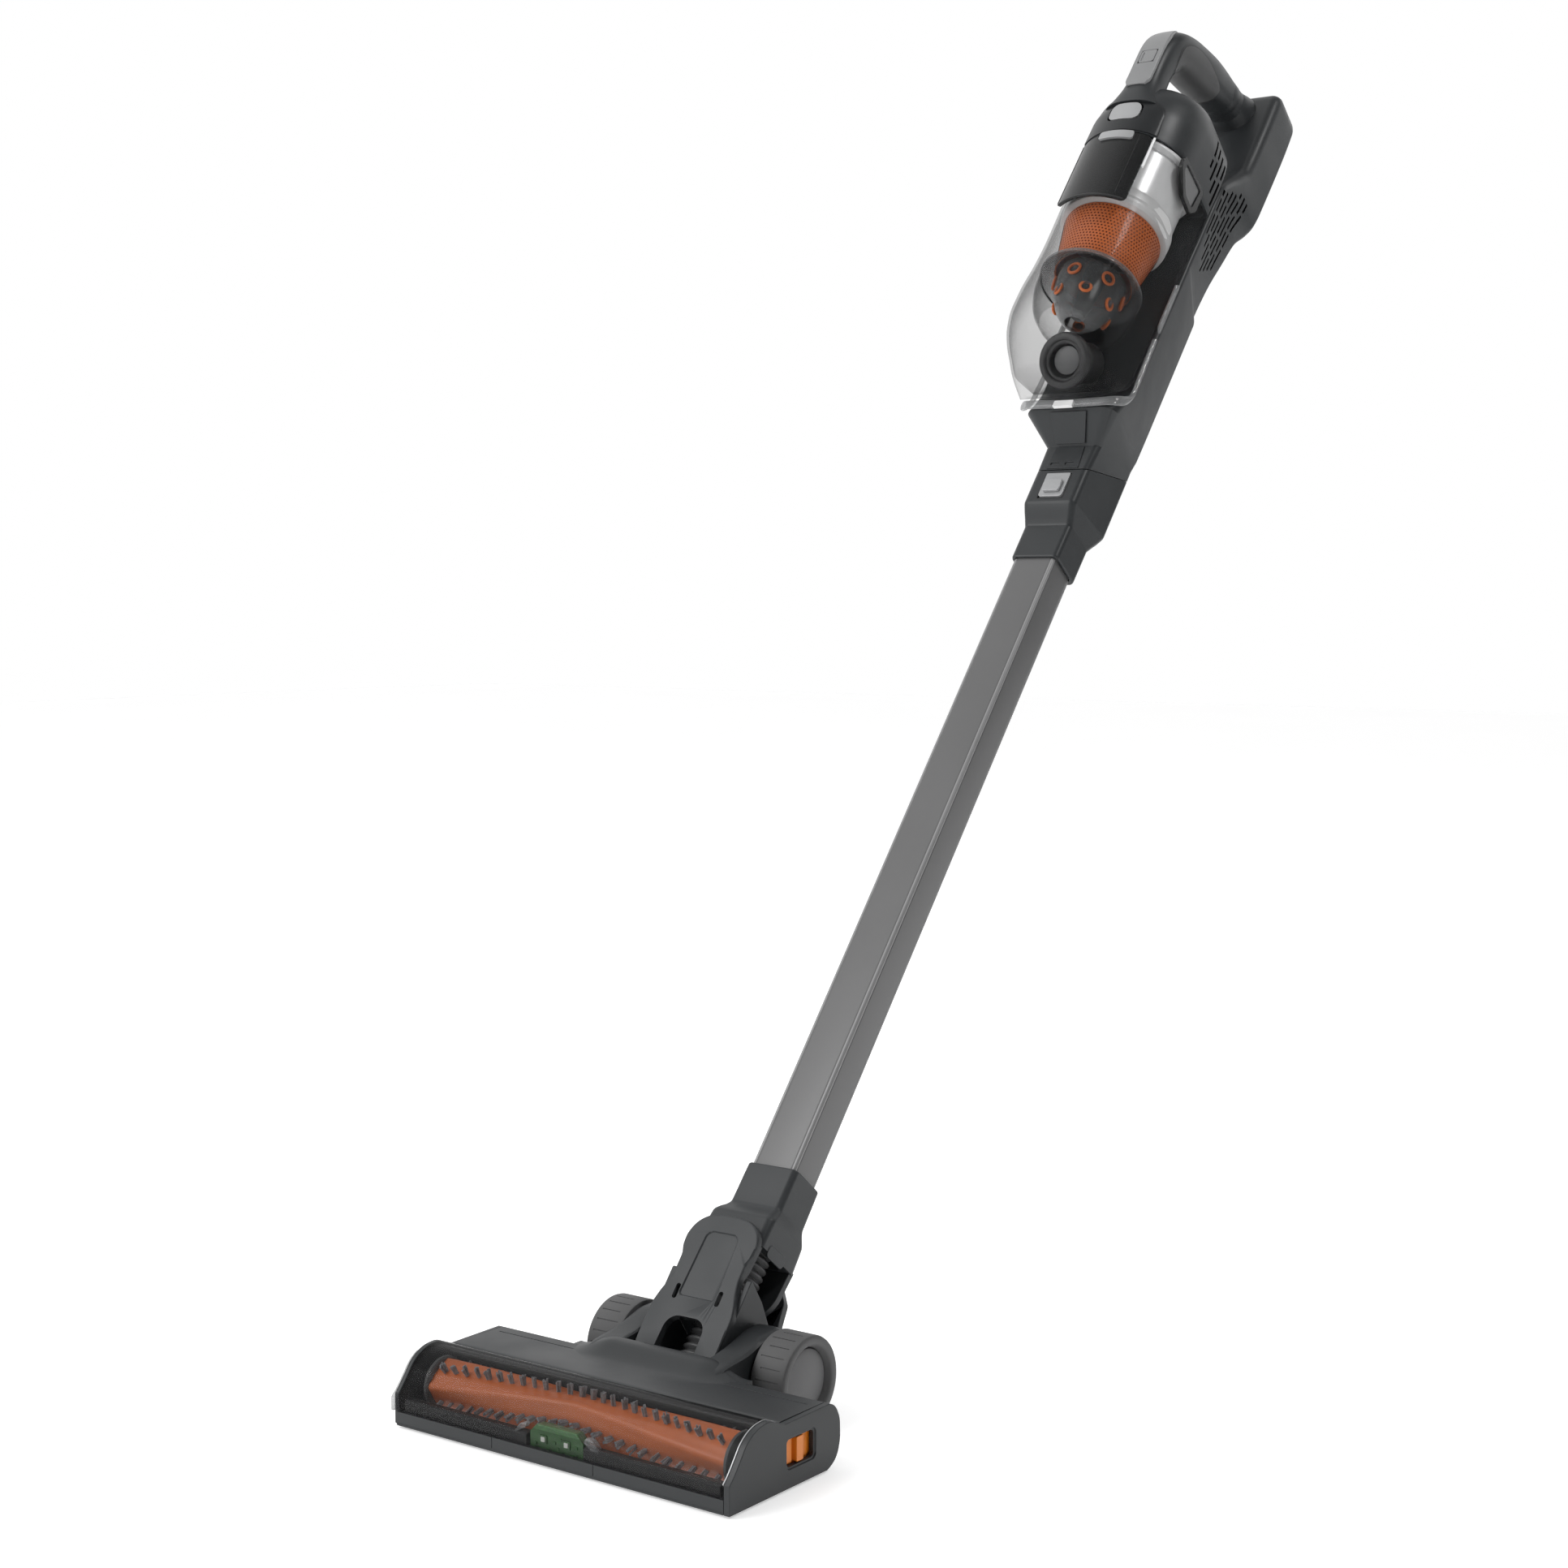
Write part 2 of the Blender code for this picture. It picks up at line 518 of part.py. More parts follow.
def mirrored(pair, side):
    return (side * pair[0], side * pair[1]) if side > 0 else (side * pair[1], side * pair[0])


def front_strip():
    half = HEAD_HALF - CAP_THICK - GAP
    bm = box(((-half, half), (0.0, BUMPER_DEPTH), (SOLE_BASE[1] + GAP, BUMPER_TOP)))
    add(bm, "front_strip", "dark_plastic", HEAD)


def brush_window():
    half = HEAD_HALF - CAP_THICK - GAP
    profile = WINDOW_OUTER + WINDOW_INNER
    add(extrude_x(profile, -half, half), "brush_window", "clear_plastic", HEAD)


def head_housing():
    half = HEAD_HALF - CAP_THICK - GAP
    profile = HOUSING_OUTER + HOUSING_INNER
    housing = add(extrude_x(profile, -half, half), "head_housing", "dark_plastic", HEAD)
    port = drum((HOSE_PATH[0][0] - 3.0, 90.0, 21.0), (0.0, 110.0, 21.0), HOSE_RIDGE + 1.0)
    cut(housing, add(port, "cut_head_port", None, HEAD))


def end_caps():
    for side in (-1, 1):
        low, high = mirrored((HEAD_HALF - CAP_THICK, HEAD_HALF), side)
        name = side_name("end_cap", side)
        cap = add(extrude_x(CAP_PROFILE, low, high), name, "dark_plastic", HEAD)
        if side > 0:
            cut(cap, add(box(LATCH_WINDOW), "cut_latch_window", None, HEAD))


def brush_latch():
    latch = add(box(LATCH_PLATE), "brush_latch", "latch_orange", HEAD, LATCH_MIDDLE)
    join(latch, add(box(LATCH_RIB), "join_latch_rib", None, HEAD))


def brush_outline(turn):
    """Star section of the roller: a round core with one fin per quarter."""
    out = []
    per_fin = 2 * math.pi / BRUSH_FINS
    for fin in range(BRUSH_FINS):
        base = turn + fin * per_fin
        for part, radius in ((0.0, BRUSH_FIN_RADIUS), (0.13, BRUSH_FIN_RADIUS), (0.30, BRUSH_CORE_RADIUS),
                             (0.565, BRUSH_CORE_RADIUS), (0.83, BRUSH_CORE_RADIUS)):
            angle = base + part * per_fin
            out.append((BRUSH_Y + radius * math.cos(angle), BRUSH_Z + radius * math.sin(angle)))
    return out


def brush_twist(x):
    """V twist: the fins lead from both ends to the middle."""
    return BRUSH_TWIST * (1.0 - abs(x) / BRUSH_HALF)


def brush_roller():
    rings = []
    for i in range(BRUSH_STEPS + 1):
        x = -BRUSH_HALF + 2 * BRUSH_HALF * i / BRUSH_STEPS
        rings.append([Vector((x, y, z)) for y, z in brush_outline(brush_twist(x))])
    add(lofted(rings), "brush_roller", "orange_plastic", HEAD, (0.0, BRUSH_Y, BRUSH_Z))


def bristle_strips():
    """Two tufted strips on opposite fins, drawn as crenellated ribbons."""
    for strip in range(2):
        base = math.pi * strip + math.radians(6)
        rings = []
        for i in range(2 * BRISTLE_TEETH):
            x = (i / (2 * BRISTLE_TEETH - 1) * 2 - 1) * (BRUSH_HALF - 4.0)
            tip = BRISTLE_TIP if i % 2 else BRISTLE_ROOT + 1.0
            rings.append(bristle_ring(x, base + brush_twist(x), tip))
        add(lofted(rings), "bristle_strip_" + "ab"[strip], "bristle", HEAD, (0.0, BRUSH_Y, BRUSH_Z))


def bristle_ring(x, angle, tip):
    low, high = angle - BRISTLE_WIDTH / 2, angle + BRISTLE_WIDTH / 2
    corners = ((BRISTLE_ROOT, low), (tip, low), (tip, high), (BRISTLE_ROOT, high))
    return [Vector((x, BRUSH_Y + r * math.cos(a), BRUSH_Z + r * math.sin(a))) for r, a in corners]


def brush_drive():
    pulley = drum((PULLEY_X[0], BRUSH_Y, BRUSH_Z), (PULLEY_X[1], BRUSH_Y, BRUSH_Z), PULLEY_RADIUS)
    add(pulley, "brush_pulley", "black_rubber", HEAD, (PULLEY_X[0], BRUSH_Y, BRUSH_Z))
    pinion = drum((PINION_X[0], MOTOR_Y, MOTOR_Z), (PINION_X[1], MOTOR_Y, MOTOR_Z), PINION_RADIUS)
    add(pinion, "motor_pinion", "steel", HEAD, (PINION_X[0], MOTOR_Y, MOTOR_Z))
    motor = drum((MOTOR_X[0], MOTOR_Y, MOTOR_Z), (MOTOR_X[1], MOTOR_Y, MOTOR_Z), MOTOR_RADIUS)
    add(motor, "brush_motor", "steel", HEAD)
    outer = belt_outline(GAP + BELT_THICK)
    inner = belt_outline(GAP)
    skin = [[Vector((x, y, z)) for y, z in outer] for x in BELT_X]
    core = [[Vector((x, y, z)) for y, z in inner] for x in BELT_X]
    add(sleeve(skin, core), "drive_belt", "black_rubber", HEAD)


def belt_outline(rise):
    """Loop round the two pulleys: the outer tangents with an arc at each end."""
    big, small = PULLEY_RADIUS + rise, PINION_RADIUS + rise
    reach = MOTOR_Y - BRUSH_Y
    lean = math.asin((big - small) / reach)
    out = []
    for k in range(9):
        a = math.pi / 2 - lean + (math.pi + 2 * lean) * k / 8
        out.append((BRUSH_Y + big * math.cos(a), BRUSH_Z + big * math.sin(a)))
    for k in range(7):
        a = -math.pi / 2 + lean + (math.pi - 2 * lean) * k / 6
        out.append((MOTOR_Y + small * math.cos(a), MOTOR_Z + small * math.sin(a)))
    return out


def head_lights():
    board = add(box(LIGHT_BOARD), "light_board", "board_green", HEAD)
    places, depth, tall, width = LIGHT_CHIPS
    for i, x in enumerate(places):
        chip = box((span(x, width / 2), (depth[0], depth[1] + 0.6), tall))
        join(board, add(chip, "join_chip_" + "ab"[i], None, HEAD))
    for side in (-1, 1):
        guide = box((mirrored(GUIDE_X, side), GUIDE_Y, GUIDE_Z))
        add(guide, side_name("light_guide", side), "clear_plastic", HEAD)


def front_rollers():
    for side in (-1, 1):
        low, high = span(side * ROLLER_X, ROLLER_HALF)
        bm = drum((low, ROLLER_Y, ROLLER_RADIUS), (high, ROLLER_Y, ROLLER_RADIUS), ROLLER_RADIUS, 14)
        add(bm, side_name("front_roller", side), "black_rubber", HEAD, (low, ROLLER_Y, ROLLER_RADIUS))


def axle_bracket():
    bar = add(extrude_x(BAR_SIDE, -BAR_HALF, BAR_HALF), "axle_bracket", "dark_plastic", HEAD)
    for side in (-1, 1):
        low, high = mirrored(CHEEK_X, side)
        cheek = extrude_x(CHEEK_SIDE, low, high)
        join(bar, add(cheek, side_name("join_cheek", side), None, HEAD))
    for side in (-1, 1):
        low, high = mirrored((CHEEK_X[0] - 5.0, CHEEK_X[1] + 5.0), side)
        bore = drum((low, AXLE_Y, AXLE_Z), (high, AXLE_Y, AXLE_Z), AXLE_RADIUS + 0.3)
        cut(bar, add(bore, side_name("cut_axle_bore", side), None, HEAD))


def wheels():
    for side in (-1, 1):
        inner, outer = side * WHEEL_X[0], side * WHEEL_X[1]
        middle = (inner, AXLE_Y, AXLE_Z)
        skin = [x_ring(r, x, AXLE_Y, AXLE_Z, FINE_STEPS) for r, x in
                ((WHEEL_RADIUS - 0.8, inner), (WHEEL_RADIUS, inner + side * 0.8),
                 (WHEEL_RADIUS, outer - side * 1.2), (WHEEL_RADIUS - 1.2, outer))]
        core = [x_ring(r, x, AXLE_Y, AXLE_Z, FINE_STEPS) for r, x in
                ((WHEEL_BORE, inner), (WHEEL_BORE, outer - side * 2.4), (WHEEL_DISH, outer))]
        add(sleeve(skin, core), side_name("wheel_tyre", side), "wheel_rubber", HEAD, middle)
        low, high = side * HUB_X[0], side * HUB_X[1]
        hub_skin = [x_ring(WHEEL_BORE - GAP, x, AXLE_Y, AXLE_Z, FINE_STEPS) for x in (low, high)]
        hub_core = [x_ring(HUB_BORE, x, AXLE_Y, AXLE_Z, FINE_STEPS) for x in (low, high - side * 2.0)]
        add(cup(hub_skin, hub_core), side_name("wheel_hub", side), "hub_plastic", HEAD, middle)
        start, end = side * AXLE_X[0], side * (HUB_X[1] - 2.6)
        pin = drum((start, AXLE_Y, AXLE_Z), (end, AXLE_Y, AXLE_Z), AXLE_RADIUS, ROUND_STEPS)
        add(pin, side_name("axle_pin", side), "steel", HEAD, (start, AXLE_Y, AXLE_Z))


# Neck

def pitch_point():
    """The wheel axle's place in stick coordinates, as (n, s)."""
    dy, dz = AXLE_Y - STICK_FOOT_Y, AXLE_Z
    along = dy * math.cos(STICK_ELEVATION) + dz * math.sin(STICK_ELEVATION)
    out = dz * math.cos(STICK_ELEVATION) - dy * math.sin(STICK_ELEVATION)
    return out, along


def neck_fork():
    n, s = pitch_point()
    origin = tuple(stick(0.0, n, s))
    fork = add(extrude_n(FORK_FRONT, *FORK_FRONT_N), "neck_fork", "neck_plastic", STICK, origin)
    for side in (-1, 1):
        low, high = mirrored(FORK_WALL_X, side)
        outline = [[stick(x, a, b) for a, b in FORK_WALL] for x in (low, high)]
        join(fork, add(lofted(outline), side_name("join_fork_wall", side), None, STICK))
        boss = drum(stick(low, n, s), stick(high, n, s), FORK_BOSS_RADIUS)
        join(fork, add(boss, side_name("join_fork_boss", side), None, STICK))
    join(fork, add(extrude_n(FORK_REAR, *FORK_REAR_N), "join_fork_rear", None, STICK))
    for side in (-1, 1):
        bore = drum(stick(side * 20.0, n, s), stick(side * 40.0, n, s), AXLE_RADIUS + 0.3)
        cut(fork, add(bore, side_name("cut_fork_bore", side), None, STICK))
        x, middle, width, height = FORK_SLOTS
        slot = stick_box(span(side * x, width / 2), (20.0, 40.0), span(middle, height / 2))
        cut(fork, add(slot, side_name("cut_fork_slot", side), None, STICK))
    across, along, reach = FORK_WINDOW
    cut(fork, add(stick_box(across, reach, (along[0] - 20.0, along[1] + 5.0)), "cut_fork_window", None, STICK))
    pivot = drum(stick(0.0, -40.0, SWIVEL_S), stick(0.0, 40.0, SWIVEL_S), SWIVEL_BORE)
    cut(fork, add(pivot, "cut_fork_pivot", None, STICK))


def neck_socket():
    origin = tuple(stick(0.0, 0.0, SWIVEL_S))
    rings = [tube_ring(*row) for row in SOCKET_RINGS]
    socket = add(lofted(rings), "neck_socket", "neck_plastic", STICK, origin)
    for name, reach in (("front", TONGUE_FRONT_N), ("rear", TONGUE_REAR_N)):
        plate = [(x, SWIVEL_S + z) for x, z in circle(TONGUE_RADIUS, ROUND_STEPS)]
        tongue = extrude_n(plate, *reach)
        join(socket, add(tongue, "join_tongue_" + name, None, STICK))
        neck = stick_box((-TONGUE_RADIUS, TONGUE_RADIUS), reach, (SWIVEL_S, 112.0))
        join(socket, add(neck, "join_tongue_neck_" + name, None, STICK))
    core = lofted([tube_ring(*row) for row in SOCKET_CORE])
    cut(socket, add(core, "cut_socket_core", None, STICK))
    pivot = drum(stick(0.0, -40.0, SWIVEL_S), stick(0.0, 40.0, SWIVEL_S), SWIVEL_BORE)
    cut(socket, add(pivot, "cut_socket_pivot", None, STICK))


def swivel_pins():
    for name, reach in (("front", SWIVEL_N), ("rear", SWIVEL_REAR_N)):
        pin = drum(stick(0.0, reach[0], SWIVEL_S), stick(0.0, reach[1], SWIVEL_S), SWIVEL_RADIUS)
        add(pin, "swivel_pin_" + name, "steel", STICK, tuple(stick(0.0, reach[0], SWIVEL_S)))


def neck_hose():
    """Corrugated hose: ridges and valleys skinned as one walled tube."""
    count = 2 * HOSE_RIBS
    low, high = HOSE_PATH[0][1], HOSE_PATH[1][1]
    skin = []
    core = []
    for i in range(count + 1):
        s = low + (high - low) * i / count
        radius = HOSE_RIDGE if i % 2 else HOSE_VALLEY
        skin.append(stick_ring(radius, s, HOSE_N, HOSE_STEPS))
    for s in (low, high):
        core.append(stick_ring(HOSE_BORE, s, HOSE_N, HOSE_STEPS))
    add(sleeve(skin, core), "neck_hose", "black_rubber", STICK, tuple(stick(0.0, HOSE_N, low)))


# Wand

def wand_tube():
    skin = [tube_ring(s, -TUBE_N, TUBE_N, TUBE_HALF, TUBE_ROUND) for s in TUBE_S]
    core = [tube_ring(s, TUBE_WALL - TUBE_N, TUBE_N - TUBE_WALL, TUBE_HALF - TUBE_WALL, TUBE_ROUND - 1.2)
            for s in TUBE_S]
    add(sleeve(skin, core), "wand_tube", "tube_paint", STICK, tuple(stick(0.0, 0.0, TUBE_S[0])))


def collar_ring(row):
    s_back, s_front, back, front, half, radius = row
    return tilted_ring(s_back, s_front, back, front, section(back, front, half, half, radius, radius))


def wand_collar():
    collar = add(lofted([collar_ring(row) for row in COLLAR_RINGS]), "wand_collar", "dark_plastic", STICK)
    for name, rows in (("core", COLLAR_CORE), ("mouth", COLLAR_MOUTH)):
        cut(collar, add(lofted([collar_ring(row) for row in rows]), "cut_collar_" + name, None, STICK))
    cut(collar, add(stick_box(*TUBE_BUTTON_POCKET), "cut_tube_button", None, STICK))
    add(stick_box(*TUBE_BUTTON), "tube_release_button", "silver_button", STICK, tuple(stick(0.0, 25.0, 717.0)))


# Handheld

def main_housing():
    body = add(lofted([body_ring(row) for row in BODY_RINGS]), "main_housing", "dark_plastic", STICK)
    first, last = BODY_CORE_ROWS
    rows = BODY_RINGS[first:last]
    core = lofted([body_ring(row, BODY_WALL) for row in rows])
    cut(body, add(core, "cut_body_core", None, STICK))
    duct = lofted([body_ring(row) for row in DUCT_CORE] + [body_ring(BODY_RINGS[5], 6.0)])
    cut(body, add(duct, "cut_body_duct", None, STICK))
    port = drum(stick(0.0, 20.0, PORT_S), stick(0.0, 50.0, PORT_S), PORT_RADIUS)
    cut(body, add(port, "cut_body_port", None, STICK))


def nozzle_panel():
    panel = add(extrude_n(NOZZLE_PANEL, *NOZZLE_PANEL_N), "nozzle_panel", "dark_plastic", STICK)
    places, s, width, height = PANEL_SLOTS
    for i, x in enumerate(places):
        slot = stick_box(span(x, width / 2), (20.0, 40.0), span(s, height / 2))
        cut(panel, add(slot, "cut_panel_slot_" + "ab"[i], None, STICK))


def motor_housing():
    outer = [dome_ring(row) for row in DOME_RINGS]
    inner = [dome_ring(row, DOME_WALL) for row in DOME_RINGS[:-1]]
    dome = add(cup(outer, inner), "motor_housing", "dark_plastic", STICK)
    for side in (-1, 1):
        for i, (middle, n, length) in enumerate(VENT_SLOTS):
            slot = stick_box(mirrored(VENT_X, side), span(n, VENT_WIDTH / 2), span(middle, length / 2))
            cut(dome, add(slot, side_name("cut_dome_vent_%d" % i, side), None, STICK))
    pocket = stick_box(BOWL_BUTTON_POCKET[0], BOWL_BUTTON_POCKET[2], BOWL_BUTTON_POCKET[1])
    cut(dome, add(pocket, "cut_bowl_button", None, STICK))


def handle_frames(rows):
    """Centre, outward direction and half sizes at each row of the handle's centre line."""
    out = []
    for i in range(rows[0], rows[1]):
        before = HANDLE_PATH[max(i - 1, 0)]
        after = HANDLE_PATH[min(i + 1, len(HANDLE_PATH) - 1)]
        along = Vector((after[0] - before[0], after[1] - before[1])).normalized()
        outward = Vector((-along[1], along[0]))
        s, n, half, depth = HANDLE_PATH[i]
        out.append((Vector((s, n)), outward, half, depth))
    return out


def handle_point(frame, across, out):
    middle, outward, _, _ = frame
    place = middle + outward * out
    return stick(across, place[1], place[0])


def squircle(half, depth, angle):
    """Rounded handle section: a superellipse."""
    c, s = math.cos(angle), math.sin(angle)
    power = 0.8
    return (half * math.copysign(abs(c) ** power, c), depth * math.copysign(abs(s) ** power, s))


def handle_ring(frame, grow=0.0):
    angles = [2 * math.pi * k / HANDLE_STEPS for k in range(HANDLE_STEPS)]
    pairs = [squircle(frame[2] + grow, frame[3] + grow, a) for a in angles]
    return [handle_point(frame, x, m) for x, m in pairs]


def grown_dome():
    rows = [(s + (0.0 if i == 0 else GAP), b, f, hb, hf, r) for i, (s, b, f, hb, hf, r) in enumerate(DOME_RINGS)]
    return lofted([dome_ring(row, -GAP) for row in rows])


def grown_body():
    rows = BODY_RINGS[11:]
    return lofted([body_ring(row, -GAP) for row in rows])


def handle_shell():
    frames = handle_frames((0, len(HANDLE_PATH)))
    handle = add(lofted([handle_ring(frame) for frame in frames]), "handle_shell", "dark_plastic", STICK)
    cut(handle, add(grown_dome(), "cut_handle_dome", None, STICK))
    cut(handle, add(grown_body(), "cut_handle_body", None, STICK))
    cut(handle, add(strip_bm(GAP), "cut_handle_strip", None, STICK))
    pocket = stick_box(POWER_POCKET[0], POWER_POCKET[2], POWER_POCKET[1])
    cut(handle, add(pocket, "cut_handle_button", None, STICK))


def strip_bm(grow):
    rings = []
    for frame in handle_frames(STRIP_ROWS):
        low = frame[3] + STRIP_RISE[0] - grow
        high = frame[3] + STRIP_RISE[1] + grow * 4
        half = STRIP_HALF + grow
        pairs = ((-half, low), (half, low), (half, high - 1.0), (half - 2.0, high), (2.0 - half, high),
                 (-half, high - 1.0))
        rings.append([handle_point(frame, x, m) for x, m in pairs])
    return lofted(rings)


def control_strip():
    strip = add(strip_bm(0.0), "control_strip", "light_strip", STICK)
    cut(strip, add(grown_dome(), "cut_strip_dome", None, STICK))
    pocket = stick_box(POWER_POCKET[0], POWER_POCKET[2], POWER_POCKET[1])
    cut(strip, add(pocket, "cut_strip_button", None, STICK))
    button = stick_box(POWER_BUTTON[0], POWER_BUTTON[2], POWER_BUTTON[1])
    add(button, "power_button", "light_strip", STICK, tuple(stick(0.0, 127.0, 1055.5)))


def grip_inlay():
    rings = []
    for frame in handle_frames(INLAY_ROWS):
        low, high = frame_span(frame)
        rings.append(low + high)
    add(lofted(rings), "grip_inlay", "soft_grip", STICK)


def frame_span(frame):
    """Band on the inner half of the handle section, from one side round to the other."""
    steps = 10
    angles = [-(INLAY_SPAN[0] + (INLAY_SPAN[1] - INLAY_SPAN[0]) * k / steps) for k in range(steps + 1)]
    low = [squircle(frame[2] + INLAY_RISE[0], frame[3] + INLAY_RISE[0], a) for a in angles]
    high = [squircle(frame[2] + INLAY_RISE[1], frame[3] + INLAY_RISE[1], a) for a in reversed(angles)]
    inner = [handle_point(frame, x, m) for x, m in low]
    outer = [handle_point(frame, x, m) for x, m in high]
    return inner, outer


def bowl_button():
    button = stick_box(BOWL_BUTTON[0], BOWL_BUTTON[2], BOWL_BUTTON[1])
    add(button, "bowl_release_button", "silver_button", STICK, tuple(stick(0.0, 125.0, 995.0)))


def suction_motor():
    radius, low, high = MOTOR_CASE
    case = drum(stick(0.0, FAN_N, low), stick(0.0, FAN_N, high), radius)
    add(case, "suction_motor", "steel", STICK)
    radius, low, high = IMPELLER
    rings = [fan_ring(radius * scale, s) for scale, s in ((0.55, low), (1.0, high - 2.0), (1.0, high))]
    add(lofted(rings), "impeller", "black_rubber", STICK, tuple(stick(0.0, FAN_N, low)))


def fan_ring(radius, s):
    """Bladed outline: alternate long and short radii."""
    count = 2 * IMPELLER_BLADES
    out = []
    for i in range(count):
        a = 2 * math.pi * i / count
        r = radius if i % 2 else radius * 0.72
        out.append(stick(r * math.cos(a), FAN_N + r * math.sin(a), s))
    return out


def electronics():
    add(stick_box(*BOARD_BOX), "control_board", "board_green", STICK)
    holder = stick_box(CELL_HOLDER[0], CELL_HOLDER[1], CELL_HOLDER[2])
    pack = add(holder, "battery_pack", "cell_wrap", STICK)
    for i, s in enumerate(CELL_S):
        cell = drum(stick(-CELL_HALF, CELL_N, s), stick(CELL_HALF, CELL_N, s), CELL_RADIUS, 16)
        join(pack, add(cell, "join_cell_%d" % (i + 1), None, STICK))
    add(stick_box(*REAR_COVER), "rear_cover", "dark_plastic", STICK)


# Dust bowl and cyclone

def dust_bowl():
    outer = [bowl_ring(row) for row in BOWL_RINGS]
    inner = [bowl_ring(row, BOWL_WALL) for row in BOWL_RINGS[:-3] + (BOWL_FLOOR,)]
    bowl = add(cup(outer, inner), "dust_bowl", "clear_plastic", STICK)
    port = drum(stick(0.0, 20.0, PORT_S), stick(0.0, 46.0, PORT_S), PORT_RADIUS)
    cut(bowl, add(port, "cut_bowl_port", None, STICK))


def bowl_lip():
    rings = []
    count = len(LIP_PATH)
    for i, (x, n, s) in enumerate(LIP_PATH):
        before, after = LIP_PATH[max(i - 1, 0)], LIP_PATH[min(i + 1, count - 1)]
        along = Vector((after[0] - before[0], after[1] - before[1], 0.0)).normalized()
        side = Vector((along[1], -along[0], 0.0))
        rings.append([stick(x + side[0] * a, n + side[1] * a, s + b) for a, b in circle(LIP_RADIUS, LIP_STEPS)])
    add(lofted(rings), "bowl_lip", "clear_plastic", STICK)
    add(stick_box(*LIP_TAB), "lip_tab", "tab_white", STICK)


def panel_ring(s):
    """Arc of the panel's section, standing a little off the rounded front of the bowl."""
    low_s, low_n, low_radius = BOWL_ROUND_LOW
    high_s, high_n, high_radius = BOWL_ROUND_HIGH
    share = (s - low_s) / (high_s - low_s)
    middle = low_n + (high_n - low_n) * share
    radius = low_radius + (high_radius - low_radius) * share
    start, end = PANEL_ANGLES
    angles = [start + (end - start) * k / PANEL_STEPS for k in range(PANEL_STEPS + 1)]
    low = [(radius + PANEL_RISE[0], a) for a in angles]
    high = [(radius + PANEL_RISE[1], a) for a in reversed(angles)]
    return [stick(r * math.sin(a), middle + r * math.cos(a), s) for r, a in low + high]


def latch_panel():
    rings = [panel_ring(s) for s in PANEL_S]
    add(lofted(rings), "latch_panel", "smoked_plastic", STICK)
    add(stick_box(*PANEL_TAB), "panel_tab", "silver_button", STICK)
    catch = add(stick_box(*CATCH_BOX), "side_catch", "clear_plastic", STICK)
    soften(catch, 1.0)


def soften(obj, width):
    edge = obj.modifiers.new("soften", "BEVEL")
    edge.width = width * MM
    edge.segments = 2
    edge.limit_method = "ANGLE"
    edge.angle_limit = math.radians(40)


def frustum_shell(name, slot, top, bottom, wall, n, steps=FINE_STEPS):
    outer = [stick_ring(r, s, n, steps) for r, s in (top, bottom)]
    inner = [stick_ring(r - wall, s, n, steps) for r, s in (top, bottom)]
    return add(sleeve(outer, inner), name, slot, STICK, tuple(stick(0.0, n, bottom[1])))


def cyclone():
    radius, bore, low, high, n = SLEEVE
    frustum_shell("cyclone_sleeve", "chrome_sleeve", (radius, high), (radius, low), radius - bore, n, 32)
    top, bottom, wall = MESH_CONE
    frustum_shell("mesh_cone", "orange_plastic", top, bottom, wall, CONE_N)
    top, bottom, wall = SKIRT
    frustum_shell("cyclone_skirt", "clear_plastic", top, bottom, wall, CONE_N)
    rings = [stick_ring(r, s, CONE_N) for r, s in INNER_CONE]
    core = [stick_ring(r - 1.4, s, CONE_N) for r, s in INNER_CONE[:-1]]
    add(cup(rings, core), "inner_cone", "smoked_plastic", STICK)


def pleated_filter():
    rings = []
    for s in FILTER_S:
        ring = []
        for i in range(2 * FILTER_PLEATS):
            a = math.pi * i / FILTER_PLEATS
            r = FILTER_RADII[0] if i % 2 else FILTER_RADII[0] - 5.0
            ring.append(stick(r * math.cos(a), CONE_N + 1.0 + r * math.sin(a), s))
        rings.append(ring)
    add(lofted(rings), "pleated_filter", "filter_white", STICK)


def inlet_duct():
    """Horizontal inlet pipe with a thick ring at its mouth, its axis along world Y."""
    s, n = DUCT_MOUTH
    mouth = stick(0.0, n, s)
    back = Vector((0.0, math.sin(STICK_ELEVATION), math.cos(STICK_ELEVATION)))
    profile = ((DUCT_RING[0], 0.0), (DUCT_RING[0], DUCT_RING[2]), (DUCT_PIPE[0], DUCT_RING[2] + 2.0),
               (DUCT_PIPE[0], DUCT_PIPE[2]))
    skin = [ring_about(mouth, back, r, d) for r, d in profile]
    core = [ring_about(mouth, back, DUCT_RING[1], d) for d in (0.0, DUCT_PIPE[2])]
    add(sleeve(skin, core), "inlet_duct", "black_rubber", STICK, tuple(mouth))
    flap = [ring_about(mouth, back, FLAP_RADIUS, d) for d in (3.0, 3.0 + FLAP_THICK)]
    hinge = mouth + back * 3.0 + across_up(back) * FLAP_RADIUS
    add(lofted(flap), "inlet_flap", "soft_grip", STICK, tuple(hinge))


def across_up(back):
    return Vector((1.0, 0.0, 0.0)).cross(back)


def ring_about(mouth, back, radius, distance):
    side = Vector((1.0, 0.0, 0.0))
    up = across_up(back)
    middle = mouth + back * distance
    return [middle + side * a + up * b for a, b in circle(radius, FINE_STEPS)]


clear_scene()
PARTS = new_collection(NAME)
CUTTERS = new_collection(NAME + "_cutters")
HEAD = head_frame()
STICK = stick_frame()

